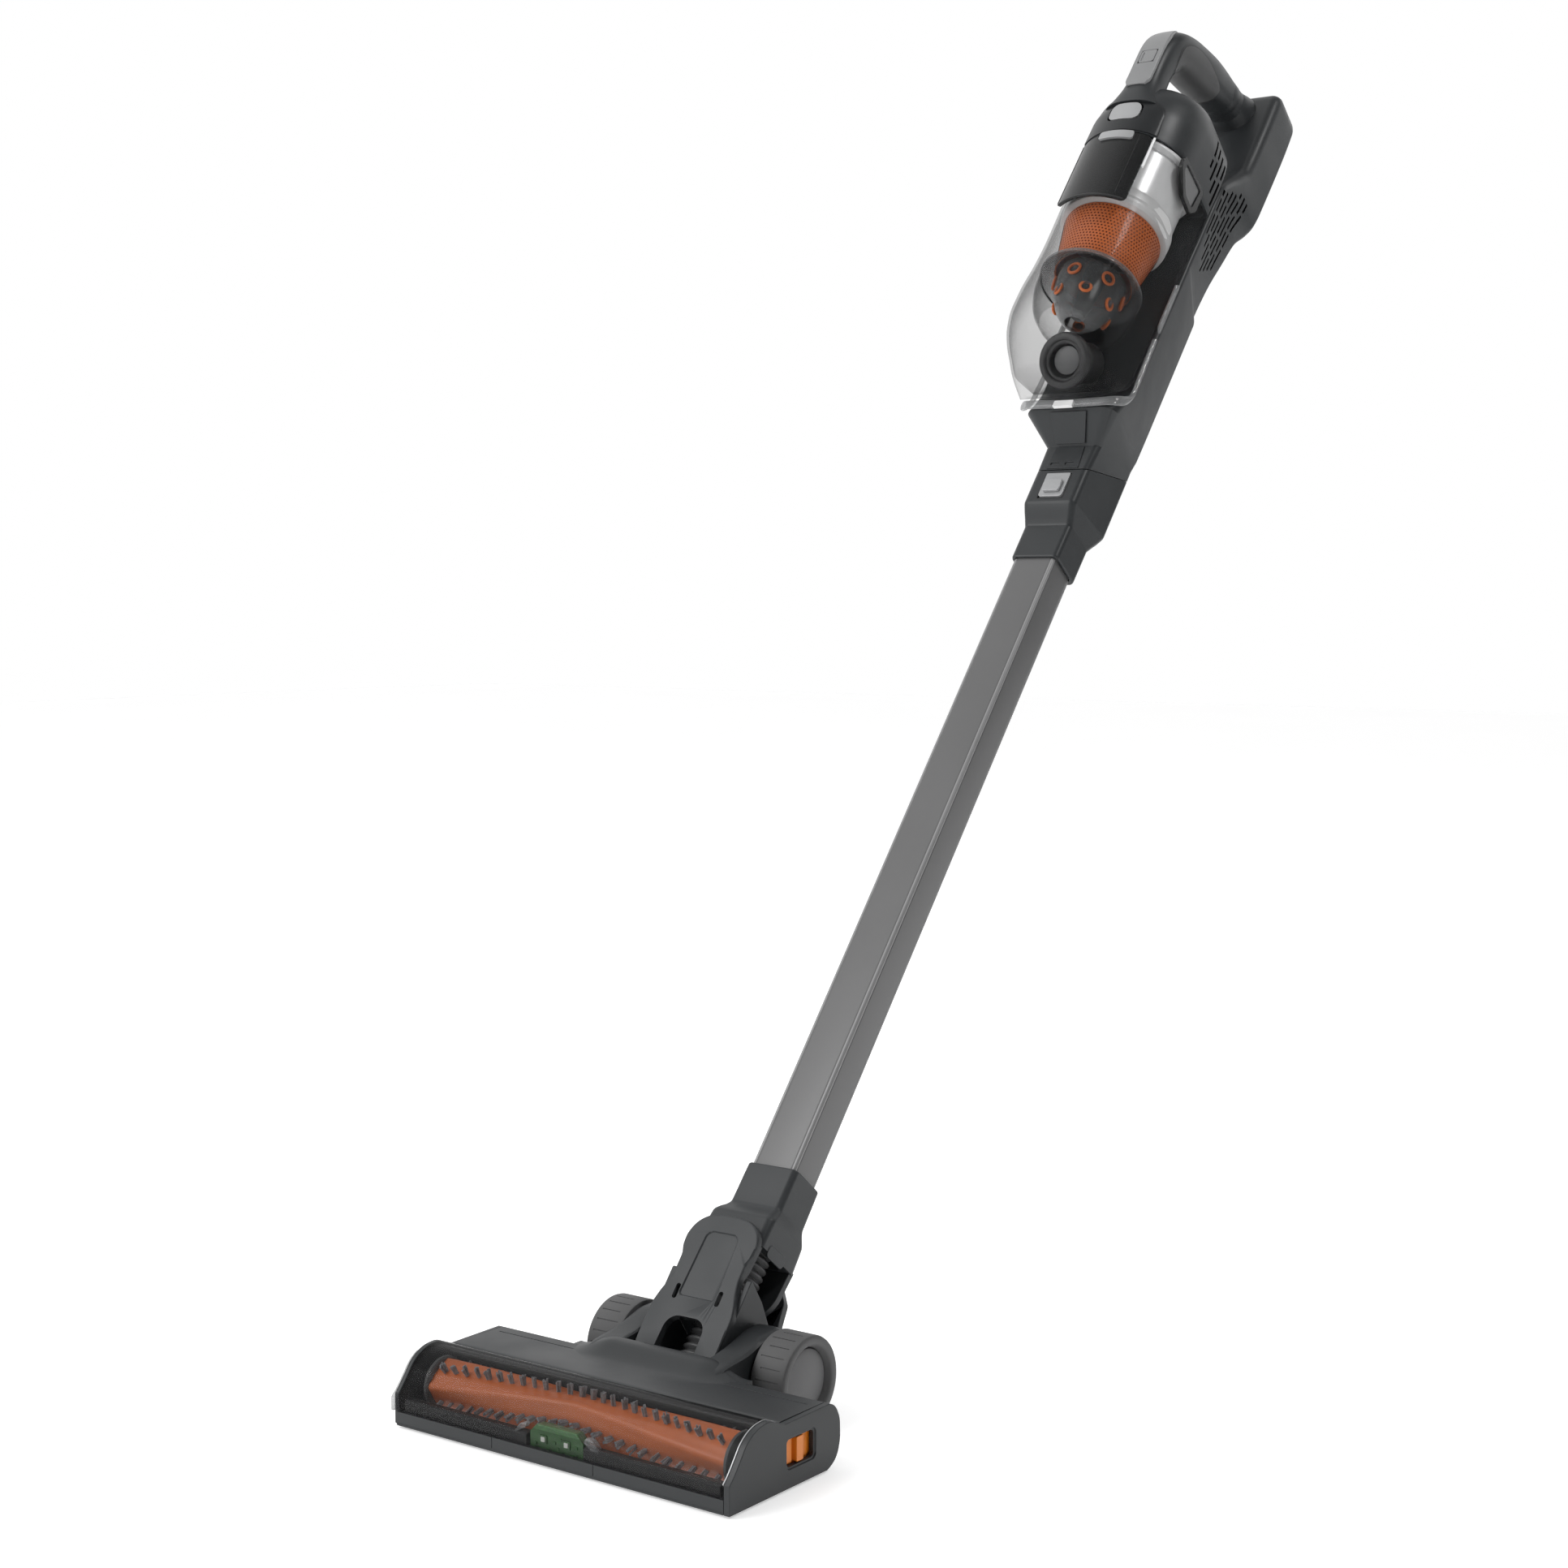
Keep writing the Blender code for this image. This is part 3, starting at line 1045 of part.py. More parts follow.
sole_plate()
front_strip()
brush_window()
head_housing()
end_caps()
brush_latch()
brush_roller()
bristle_strips()
brush_drive()
head_lights()
front_rollers()
axle_bracket()
wheels()
neck_fork()
neck_socket()
swivel_pins()
neck_hose()
wand_tube()
wand_collar()
main_housing()
nozzle_panel()
motor_housing()
handle_shell()
control_strip()
grip_inlay()
bowl_button()
suction_motor()
electronics()
dust_bowl()
bowl_lip()
latch_panel()
cyclone()
pleated_filter()
inlet_duct()
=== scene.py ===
"""Looks of the cordless stick vacuum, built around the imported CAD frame.

Tables are in millimetres. Head tables use (x across, y from the front edge, z up).
Stick tables use (x across, n out of the front of the stick, s along the stick).
"""
import math
import random

import bmesh
import bpy
from mathutils import Matrix, Vector


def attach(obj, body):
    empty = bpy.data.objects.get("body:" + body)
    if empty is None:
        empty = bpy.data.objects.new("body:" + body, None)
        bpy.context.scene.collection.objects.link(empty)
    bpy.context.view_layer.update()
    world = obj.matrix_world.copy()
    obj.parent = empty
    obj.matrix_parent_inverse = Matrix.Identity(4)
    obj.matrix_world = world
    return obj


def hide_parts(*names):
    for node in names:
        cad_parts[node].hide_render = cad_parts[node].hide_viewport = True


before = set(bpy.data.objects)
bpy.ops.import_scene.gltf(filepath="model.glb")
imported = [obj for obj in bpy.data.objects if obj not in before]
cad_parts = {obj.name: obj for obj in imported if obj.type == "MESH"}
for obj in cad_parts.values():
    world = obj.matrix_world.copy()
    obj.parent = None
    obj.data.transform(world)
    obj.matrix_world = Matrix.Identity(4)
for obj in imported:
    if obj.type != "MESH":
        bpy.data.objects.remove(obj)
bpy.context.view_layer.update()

MM = 0.001
ORIGIN_Y = 432.9
STICK_FOOT_Y = 117.1
ELEVATION = math.radians(50.946)
SCALE = Matrix.Scale(MM, 4)
HEAD_BODIES = ("floor_head", "brush", "brush_latch", "wheel_left", "wheel_right")
HEAD = Matrix.Translation((0, -ORIGIN_Y * MM, 0)) @ SCALE
LEAN = Matrix.Rotation(ELEVATION - math.pi / 2, 4, "X")
STICK = Matrix.Translation((0, (STICK_FOOT_Y - ORIGIN_Y) * MM, 0)) @ LEAN @ SCALE
random.seed(7)


# ---------------------------------------------------------------- materials

NOISE_SPAN = (0.3, 0.7)
COAT_ROUGHNESS = 0.15
GRAIN_DEPTH = 0.0002


def node(tree, kind, **values):
    made = tree.nodes.new(kind)
    for key, value in values.items():
        setattr(made, key, value)
    return made


def noise(tree, scale, detail=3, stretch=None):
    coords = node(tree, "ShaderNodeTexCoord")
    source = coords.outputs["Object"]
    if stretch:
        mapping = node(tree, "ShaderNodeMapping")
        mapping.inputs["Scale"].default_value = stretch
        mapping.inputs["Rotation"].default_value = (-LEAN.to_euler().x, 0, 0)
        tree.links.new(source, mapping.inputs["Vector"])
        source = mapping.outputs["Vector"]
    made = node(tree, "ShaderNodeTexNoise")
    made.inputs["Scale"].default_value = scale
    made.inputs["Detail"].default_value = detail
    tree.links.new(source, made.inputs["Vector"])
    return made.outputs["Fac"]


def spread(tree, source, low, high):
    """The usual span of a noise, stretched to a range of values."""
    made = node(tree, "ShaderNodeMapRange")
    made.inputs["From Min"].default_value, made.inputs["From Max"].default_value = NOISE_SPAN
    made.inputs["To Min"].default_value = low
    made.inputs["To Max"].default_value = high
    tree.links.new(source, made.inputs["Value"])
    return made.outputs["Result"]


def shade(rgb, factor):
    return tuple(min(c * factor, 1) for c in rgb) + (1,)


def surface(name, rgb, rough, vary=0.07, patch=28, grain=1400, bump=0.10, metallic=0, stretch=None,
            coat=0, sheen=0, alpha=None, edge_alpha=None, specular=0.5, blend=0.35):
    """Moulded or painted material: patchy colour, uneven gloss and a fine grain.

    With an alpha, the surface is see-through: alpha face on, edge_alpha where it turns away.
    """
    mat = bpy.data.materials.new(name)
    mat.use_nodes = True
    tree = mat.node_tree
    shader = tree.nodes["Principled BSDF"]
    shader.inputs["Metallic"].default_value = metallic
    shader.inputs["Coat Weight"].default_value = coat
    shader.inputs["Coat Roughness"].default_value = COAT_ROUGHNESS
    shader.inputs["Sheen Weight"].default_value = sheen
    shader.inputs["Specular IOR Level"].default_value = specular
    patches = noise(tree, patch, 4, stretch)
    ramp = node(tree, "ShaderNodeValToRGB")
    for stop, at, factor in zip(ramp.color_ramp.elements, NOISE_SPAN, (1 - vary, 1 + vary)):
        stop.position = at
        stop.color = shade(rgb, factor)
    tree.links.new(patches, ramp.inputs["Fac"])
    tree.links.new(ramp.outputs["Color"], shader.inputs["Base Color"])
    tree.links.new(spread(tree, patches, rough * 0.88, rough * 1.12), shader.inputs["Roughness"])
    lift = node(tree, "ShaderNodeBump")
    lift.inputs["Strength"].default_value = bump
    lift.inputs["Distance"].default_value = GRAIN_DEPTH
    tree.links.new(noise(tree, grain, 2, stretch), lift.inputs["Height"])
    tree.links.new(lift.outputs["Normal"], shader.inputs["Normal"])
    if alpha is not None:
        weight = node(tree, "ShaderNodeLayerWeight")
        weight.inputs["Blend"].default_value = blend
        opaque = node(tree, "ShaderNodeMapRange")
        opaque.inputs["To Min"].default_value = alpha
        opaque.inputs["To Max"].default_value = edge_alpha
        tree.links.new(weight.outputs["Facing"], opaque.inputs["Value"])
        tree.links.new(opaque.outputs["Result"], shader.inputs["Alpha"])
    return mat


LOOKS = {
    "dark": surface("dark_plastic", (0.0255, 0.028, 0.0300), 0.42, bump=0.12, specular=0.36),
    "brow": surface("brow_plastic", (0.018, 0.0195, 0.021), 0.36, bump=0.1, specular=0.3),
    "slot": surface("slot_shadow", (0.004, 0.004, 0.0045), 0.7, specular=0.1),
    "darker": surface("shadow_plastic", (0.012, 0.0125, 0.013), 0.55, bump=0.12),
    "neck": surface("neck_plastic", (0.033, 0.036, 0.0385), 0.44, bump=0.12, specular=0.36),
    "tube": surface("tube_paint", (0.115, 0.115, 0.116), 0.34, vary=0.04, patch=14, grain=2600, bump=0.08,
                    metallic=0.15, coat=0.12),
    # painted highlight: the light grey of the corner beads stands in for the bright line of light along the
    # tube's corners
    "tube_edge": surface("tube_edge", (0.26, 0.26, 0.262), 0.3, vary=0.04, patch=14, bump=0.05, metallic=0.15),
    "wheel": surface("wheel_plastic", (0.095, 0.095, 0.096), 0.62, grain=1800, bump=0.25),
    "hub": surface("hub_plastic", (0.125, 0.125, 0.127), 0.5, bump=0.2),
    "orange": surface("orange_plastic", (0.70, 0.165, 0.038), 0.40, bump=0.10),
    "latch": surface("latch_orange", (0.78, 0.22, 0.015), 0.38, bump=0.08),
    "bristle": surface("bristle", (0.34, 0.34, 0.35), 0.8, vary=0.25, patch=900, grain=4000, bump=0.4),
    "clear": surface("clear_plastic", (0.036, 0.037, 0.038), 0.06, vary=0.05, bump=0, alpha=0.02, edge_alpha=0.80,
                     specular=0.05, blend=0.20),
    "thick": surface("thick_clear", (0.30, 0.305, 0.31), 0.08, vary=0.05, bump=0, alpha=0.30, edge_alpha=0.85,
                     specular=0.6),
    "window": surface("window_plastic", (0.022, 0.022, 0.023), 0.08, vary=0.05, bump=0, alpha=0.11,
                      edge_alpha=0.55, specular=0.16),
    "smoke": surface("smoked_plastic", (0.020, 0.0205, 0.021), 0.14, bump=0, alpha=0.86, edge_alpha=0.97,
                     specular=0.25),
    "haze": surface("hazy_plastic", (0.20, 0.203, 0.206), 0.15, bump=0, alpha=0.34, edge_alpha=0.9,
                    specular=0.3),
    "silver": surface("silver_button", (0.38, 0.385, 0.39), 0.34, metallic=0.35, bump=0.08),
    "strip": surface("light_strip", (0.23, 0.232, 0.235), 0.42, bump=0.12),
    "chrome": surface("chrome_sleeve", (0.97, 0.975, 0.98), 0.22, vary=0.02, metallic=0.08, patch=30,
                      stretch=(1, 1, 12), bump=0.05),
    # painted shade: the dark dots stand in for the shade inside the cone's perforation holes; the metal gives
    # glints
    "mesh": surface("mesh_hole_shade", (0.10, 0.035, 0.018), 0.25, metallic=0.5),
    "board": surface("board_green", (0.035, 0.125, 0.030), 0.42, vary=0.35, patch=420, bump=0.3, coat=0.3),
    "chip": surface("light_chip", (0.75, 0.76, 0.72), 0.3),
    "steel": surface("steel", (0.56, 0.56, 0.57), 0.3, metallic=1, stretch=(30, 1, 1)),
    "grip": surface("soft_grip", (0.042, 0.043, 0.044), 0.55, grain=2400, bump=0.4, sheen=0.15),
    "rubber": surface("black_rubber", (0.022, 0.022, 0.023), 0.5, grain=1500, bump=0.2),
    "hose": surface("hose_rubber", (0.10, 0.101, 0.103), 0.5, grain=1500, bump=0.2),
    "filter": surface("filter_white", (0.78, 0.78, 0.76), 0.9, grain=2500, bump=0.5, sheen=0.3),
    "wrap": surface("cell_wrap", (0.05, 0.15, 0.28), 0.35),
    "white": surface("tab_white", (0.78, 0.78, 0.78), 0.35),
}


# ---------------------------------------------------------------- mesh tools

def stick(x, n, s):
    """A point of the stick's tables in the stick's own frame."""
    return Vector((x, -n, s))


def bridge(bm, rows):
    """Faces between rings that have the same number of points."""
    for lower, upper in zip(rows, rows[1:]):
        for i in range(len(lower)):
            j = (i + 1) % len(lower)
            bm.faces.new((lower[i], lower[j], upper[j], upper[i]))


def lofted(rings, bm=None):
    """Closed solid through a row of rings."""
    bm = bm or bmesh.new()
    rows = [[bm.verts.new(p) for p in ring] for ring in rings]
    bridge(bm, rows)
    bm.faces.new(rows[0])
    bm.faces.new(rows[-1])
    return bm


def walled(outer, inner, closed_end=False):
    """Tube or vessel with a wall: outer and inner rings run the same way."""
    bm = bmesh.new()
    skin = [[bm.verts.new(p) for p in ring] for ring in outer]
    core = [[bm.verts.new(p) for p in ring] for ring in inner]
    bridge(bm, skin)
    bridge(bm, core)
    bridge(bm, [skin[0], core[0]])
    if closed_end:
        bm.faces.new(skin[-1])
        bm.faces.new(core[-1])
    else:
        bridge(bm, [skin[-1], core[-1]])
    return bm


def box(ranges):
    bm = bmesh.new()
    made = bmesh.ops.create_cube(bm, size=1)["verts"]
    bmesh.ops.scale(bm, vec=[high - low for low, high in ranges], verts=made)
    bmesh.ops.translate(bm, vec=[(high + low) / 2 for low, high in ranges], verts=made)
    return bm


def stick_box(across, out, along):
    return box((across, (-out[1], -out[0]), along))


def refine(rows, per=4):
    """Monotone cubic through the rows of a table, so that a few rows give a smooth skin."""
    rows = [[float(v) for v in row] for row in rows]
    knots = [0]
    for a, b in zip(rows, rows[1:]):
        knots.append(knots[-1] + max(math.dist(a, b), 1e-6))
    gaps = [b - a for a, b in zip(knots, knots[1:])]
    count, width = len(rows), len(rows[0])
    slopes = [[0] * width for _ in rows]
    for c in range(width):
        steps = [(rows[i + 1][c] - rows[i][c]) / gaps[i] for i in range(count - 1)]
        slopes[0][c], slopes[-1][c] = steps[0], steps[-1]
        for i in range(1, count - 1):
            if steps[i - 1] * steps[i] > 0:
                slopes[i][c] = 2 / (1 / steps[i - 1] + 1 / steps[i])
    out = []
    for i in range(count - 1):
        for k in range(per):
            u = k / per
            h = gaps[i]
            a, b = (1 + 2 * u) * (1 - u) ** 2, u * (1 - u) ** 2 * h
            c, d = u * u * (3 - 2 * u), u * u * (u - 1) * h
            out.append([a * p + b * m + c * q + d * r for p, m, q, r in
                        zip(rows[i], slopes[i], rows[i + 1], slopes[i + 1])])
    out.append(rows[-1])
    return out


def rounded(points, radii, steps=6):
    """Polygon with each corner replaced by an arc."""
    out = []
    count = len(points)
    for i in range(count):
        radius = radii[i] if isinstance(radii, (list, tuple)) else radii
        here = Vector(points[i])
        before = Vector(points[i - 1]) - here
        after = Vector(points[(i + 1) % count]) - here
        half = before.angle(after) / 2
        reach = min(radius / math.tan(half), 0.49 * before.length, 0.49 * after.length)
        first = here + before.normalized() * reach
        last = here + after.normalized() * reach
        weight = math.sin(half)
        for k in range(steps + 1):
            u = k / steps
            a, b, c = (1 - u) ** 2, 2 * u * (1 - u) * weight, u * u
            out.append((first * a + here * b + last * c) / (a + b + c))
    return out


def section(back, front, half_back, half_front, round_back, round_front, steps=8):
    corners = ((-half_back, back), (half_back, back), (half_front, front), (-half_front, front))
    return rounded(corners, (round_back, round_back, round_front, round_front), steps)


def circle(radius, steps, middle=(0, 0)):
    turns = [2 * math.pi * i / steps for i in range(steps)]
    return [(middle[0] + radius * math.cos(a), middle[1] + radius * math.sin(a)) for a in turns]


def stick_ring(radius, s, n, steps=64):
    return [stick(x, y, s) for x, y in circle(radius, steps, (0, n))]


def x_ring(radius, x, y, z, steps=72):
    return [Vector((x, b, c)) for b, c in circle(radius, steps, (y, z))]


def extrude_x(profile, low, high):
    """Prism across the head, from a profile of (y, z)."""
    return lofted([[Vector((x, p[0], p[1])) for p in profile] for x in (low, high)])


def extrude_n(outline, low, high):
    """Prism standing out of the front of the stick, from an outline of (x, s)."""
    return lofted([[stick(p[0], n, p[1]) for p in outline] for n in (low, high)])


def extrude_side(profile, low, high):
    """Prism across the stick, from a profile of (n, s)."""
    return lofted([[stick(x, p[0], p[1]) for p in profile] for x in (low, high)])


def merged(parts):
    """One bmesh out of several."""
    out = bmesh.new()
    for part in parts:
        mesh = bpy.data.meshes.new("part")
        bmesh.ops.recalc_face_normals(part, faces=part.faces)
        part.to_mesh(mesh)
        part.free()
        out.from_mesh(mesh)
        bpy.data.meshes.remove(mesh)
    return out


def mesh_object(name, bm, place):
    bmesh.ops.recalc_face_normals(bm, faces=bm.faces)
    mesh = bpy.data.meshes.new(name)
    bm.to_mesh(mesh)
    bm.free()
    mesh.transform(place)
    obj = bpy.data.objects.new(name, mesh)
    bpy.context.scene.collection.objects.link(obj)
    return obj


def baked(obj):
    """The object's mesh with its modifiers applied."""
    deps = bpy.context.evaluated_depsgraph_get()
    made = bpy.data.meshes.new_from_object(obj.evaluated_get(deps))
    obj.modifiers.clear()
    old = obj.data
    obj.data = made
    made.name = obj.name
    bpy.data.meshes.remove(old)


def boolean(obj, bm, place, look=None):
    """Cut a shape out of an object. With a look, the cut faces take that material."""
    tool = mesh_object("tool", bm, place)
    change = obj.modifiers.new("cut", "BOOLEAN")
    change.operation = "DIFFERENCE"
    if look:
        tool.data.materials.append(LOOKS[look])
        change.material_mode = "TRANSFER"
    change.solver = "EXACT"
    change.object = tool
    baked(obj)
    bpy.data.objects.remove(tool, do_unlink=True)


def piece(name, bm, body, look, nodes=None, cuts=(), late=(), bevel=0, smooth=38, limit=32):
    """A finished piece: cut, softened, shaded, riding its body and standing for its CAD nodes.

    A skin stands for the CAD node of its own name. Late cuts are made after the edges are softened, so that
    narrow slots stay crisp.
    """
    place = HEAD if body in HEAD_BODIES else STICK
    if nodes is None:
        nodes = [name.replace("_skin", "")] if "_skin" in name else []
    obj = mesh_object(name, bm, place)
    for cutter in cuts:
        boolean(obj, cutter, place)
    obj.data.materials.clear()
    obj.data.materials.append(LOOKS[look])
    if bevel:
        soften(obj, bevel, 3, limit)
    for cutter in late:
        baked(obj)
        boolean(obj, cutter, place, "slot")
    finish_shading(obj, smooth, bool(bevel) and not late)
    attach(obj, body)
    if nodes:
        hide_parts(*nodes)
    return obj


def soften(obj, width, segments, limit=32):
    edge = obj.modifiers.new("soften", "BEVEL")
    edge.width = width * MM
    edge.segments = segments
    edge.limit_method = "ANGLE"
    edge.angle_limit = math.radians(limit)
    edge.use_clamp_overlap = True


def finish_shading(obj, angle, bevelled):
    mesh = obj.data
    mesh.polygons.foreach_set("use_smooth", [True] * len(mesh.polygons))
    if bevelled:
        even = obj.modifiers.new("even", "WEIGHTED_NORMAL")
        even.keep_sharp = False
        even.weight = 60
    else:
        mesh.set_sharp_from_angle(angle=math.radians(angle))


def dress(name, look, bevel):
    """A CAD node that stays, with its own material and softened edges."""
    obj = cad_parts[name]
    for slot in obj.material_slots:
        slot.material = LOOKS[look]
    weld = obj.modifiers.new("weld", "WELD")
    weld.merge_threshold = 0.00001
    if bevel:
        soften(obj, bevel, 2)
        even = obj.modifiers.new("even", "WEIGHTED_NORMAL")
        even.weight = 60


# ---------------------------------------------------------------- floor head

HEAD_HALF = 127.5
INNER_HALF = HEAD_HALF - 4.2
FRONT_CURVE = ((0, 17.7), (3.2, 20.8), (6.4, 24.6), (10.5, 30), (15, 35.8), (21.6, 40.6), (28.5, 43),
               (35.5, 43.6), (42.6, 41.4), (49.4, 38.5))
REAR_CURVE = ((92.1, 38.9), (96.6, 37), (100, 33), (102.4, 26.5), (102.6, 18), (101, 10.5),
              (97.6, 5.2), (93, 2.2), (90, 1))


def offset_curve(points, distance):
    """The curve moved inwards by a distance along its normals."""
    out = []
    for i, p in enumerate(points):
        a = Vector(points[max(i - 1, 0)])
        b = Vector(points[min(i + 1, len(points) - 1)])
        along = (b - a).normalized()
        out.append((p[0] + along[1] * distance, p[1] - along[0] * distance))
    return out


def cap_profile(front_cut=0):
    """Side view of the head."""
    front = [(max(p[0], front_cut), p[1]) for p in refine(FRONT_CURVE, 3)]
    return [(front_cut, 1)] + front + [(50.6, 38.4)] + refine(REAR_CURVE, 3)


def end_caps():
    piece("end_cap_left_skin", extrude_x(cap_profile(2.2), -HEAD_HALF + 0.6, -HEAD_HALF + 4.2),
          "floor_head", "dark", bevel=0.7)
    window = rounded(((52.7, 12.9), (77.5, 12.9), (77.5, 28.3), (52.7, 28.3)), 2.4)
    recess = rounded(((51.2, 11.6), (79, 11.6), (79, 29.6), (51.2, 29.6)), 3.4)
    cuts = [extrude_x(window, 110, 140), extrude_x(recess, HEAD_HALF - 0.8, 140)]
    piece("end_cap_right_skin", extrude_x(cap_profile(), HEAD_HALF - 4, HEAD_HALF), "floor_head",
          "dark", cuts=cuts, bevel=0.6)
    ribs = [box(((119.8, 122.9), (50.8, 84), (11.6, 29.4)))]
    for y0, y1, top in ((62.4, 68.6, 126.4), (54, 60.6, 124.2), (70.4, 76.4, 123.3)):
        ribs.append(extrude_x(rounded(((y0, 13.5), (y1, 13.5), (y1, 27.7), (y0, 27.7)), 0.8), 122, top))
    piece("brush_latch_skin", merged(ribs), "brush_latch", "latch", bevel=0.4)


def window_shell():
    outer = [(0.2, 9.6)] + refine(FRONT_CURVE, 4)
    inner = [(2, 9.6)] + offset_curve(refine(FRONT_CURVE, 4), 1.8)
    bm = extrude_x(outer + inner[::-1], -HEAD_HALF + 4.4, HEAD_HALF - 4.2)
    piece("brush_window_skin", bm, "floor_head", "window", smooth=50)
    # a thin silver strip along the window's right end: a painted highlight line at the seam with the end cap
    curve = refine(FRONT_CURVE, 4)
    band = offset_curve(curve, -0.35) + offset_curve(curve, 0.8)[::-1]
    rim = extrude_x(band, HEAD_HALF - 4.7, HEAD_HALF - 4.05)
    piece("painted_rim_highlight", rim, "floor_head", "silver", smooth=40)
    lip = [(0, 9.6)] + refine(FRONT_CURVE[:6], 3)
    back = [(p[0] + 3, p[1] - 2) for p in lip[1:]]
    strip = extrude_x(lip + back[::-1] + [(3, 9.6)], -HEAD_HALF, -HEAD_HALF + 2)
    piece("window_corner", strip, "floor_head", "thick", smooth=40)


BRUSH_Y, BRUSH_Z, BRUSH_HALF = 30.5, 20.6, 112
BRUSH_START = math.radians(128)
BRUSH_TURN = math.radians(-46)


def head_shell():
    top = [(49.9, 38.3), (52, 38.9), (92.1, 38.9)]
    outer = top[:2] + refine(REAR_CURVE, 4)
    inner = offset_curve(outer, 2.4)
    bm = extrude_x(outer + inner[::-1], -INNER_HALF, INNER_HALF)
    cuts = [box((sorted((side * 44, side * 118)), (83.6, 84.2), (38.3, 40))) for side in (-1, 1)]
    piece("head_housing_skin", bm, "floor_head", "dark", cuts=cuts, bevel=0.5, smooth=40)
    # the lining behind the brush keeps the inside dark
    turns = [math.radians(-38 + 5 * k) for k in range(21)]
    arc = [(BRUSH_Y + r * math.cos(a), BRUSH_Z + r * math.sin(a))
           for r, row in ((20.4, turns), (19.4, turns[::-1])) for a in row]
    bm = extrude_x(arc, -118, 118)
    piece("brush_chamber", bm, "floor_head", "darker", smooth=40)
    front = [(2.6, 3.6), (2.6, 15.2), (4.2, 16.4), (8.6, 16.4), (10, 15), (13.2, 6), (13.2, 3.6)]
    bm = extrude_x(front, -119, 119)
    slot = box(((-21.5, 21.5), (0, 9), (6.4, 20)))
    piece("front_ledge", bm, "floor_head", "darker", cuts=[slot], bevel=0.5)


def bumper():
    grooves = [box(((x - 0.3, x + 0.3), (-1, 0.35), (2, 10))) for x in (-46, 31)]
    bm = extrude_x(((0.3, 1.2), (0, 2.2), (0, 9.4), (3.4, 9.4), (3.4, 1.2)), -INNER_HALF, INNER_HALF)
    piece("front_strip_skin", bm, "floor_head", "dark", cuts=[merged(grooves)], bevel=0.25)


def brush_angle(x):
    """The fins turn back from the middle to both ends."""
    return BRUSH_START + BRUSH_TURN * (1 - abs(x) / BRUSH_HALF)


def brush():
    rings = []
    for i in range(97):
        x = -BRUSH_HALF + 2 * BRUSH_HALF * i / 96
        ring = []
        for k in range(64):
            a = 2 * math.pi * k / 64
            local = (a - brush_angle(x)) % (math.pi / 2)
            fin = math.exp(-((local - math.pi / 4) / 0.24) ** 2)
            groove = math.exp(-(min(local, math.pi / 2 - local) / 0.16) ** 2)
            r = 13 + 2.4 * fin - 0.5 * groove
            ring.append(Vector((x, BRUSH_Y + r * math.cos(a), BRUSH_Z + r * math.sin(a))))
        rings.append(ring)
    piece("brush_roller_skin", lofted(rings), "brush", "orange", smooth=60)
    for strip in range(2):
        parts = bmesh.new()
        for row in (strip, strip + 2):
            for i in range(26):
                x = -BRUSH_HALF + 7 + (2 * BRUSH_HALF - 14) * i / 25
                tuft(parts, x, brush_angle(x) + row * math.pi / 2)
        piece("bristle_rows_" + "ab"[strip], parts, "brush", "bristle",
              ["bristle_strip_" + "ab"[strip]], smooth=60)
    rim = []
    for side in (-1, 1):
        rows = [x_ring(r, side * x, BRUSH_Y, BRUSH_Z, 56) for r, x in
                ((15.6, 111.6), (16.6, 112.4), (16.6, 114.2), (15, 114.8), (6, 114.8), (6, 111.6))]
        rim.append(lofted(rows))
    piece("brush_end_discs", merged(rim), "brush", "wheel")


def tuft(bm, x, angle):
    """A bundle of stiff hairs leaning out of the roller."""
    for _ in range(9):
        dx, da = random.uniform(-1.05, 1.05), random.uniform(-0.08, 0.08)
        tip_dx, tip_da = dx * 1.3, da * 1.4 + random.uniform(-0.02, 0.02)
        tip = random.uniform(18.2, 19)
        rows = []
        for share in (0, 0.55, 1):
            r = 12 + (tip - 12) * share
            px = x + dx + (tip_dx - dx) * share
            pa = angle + da + (tip_da - da) * share
            thick = 0.72 - 0.18 * share
            rows.append([Vector((px + across, BRUSH_Y + r * math.cos(pa + lift / r),
                                 BRUSH_Z + r * math.sin(pa + lift / r))) for across, lift in circle(thick, 5)])
        lofted(rows, bm=bm)


def extrude_board(outline):
    top = [p for p in outline if p[1] > 16.5]
    top.sort(key=lambda p: p[0])
    under = [(p[0], p[1] - 1.4) for p in reversed(top)]
    return lofted([[Vector((p[0], y, p[1])) for p in top + under] for y in (6, 10.2)])


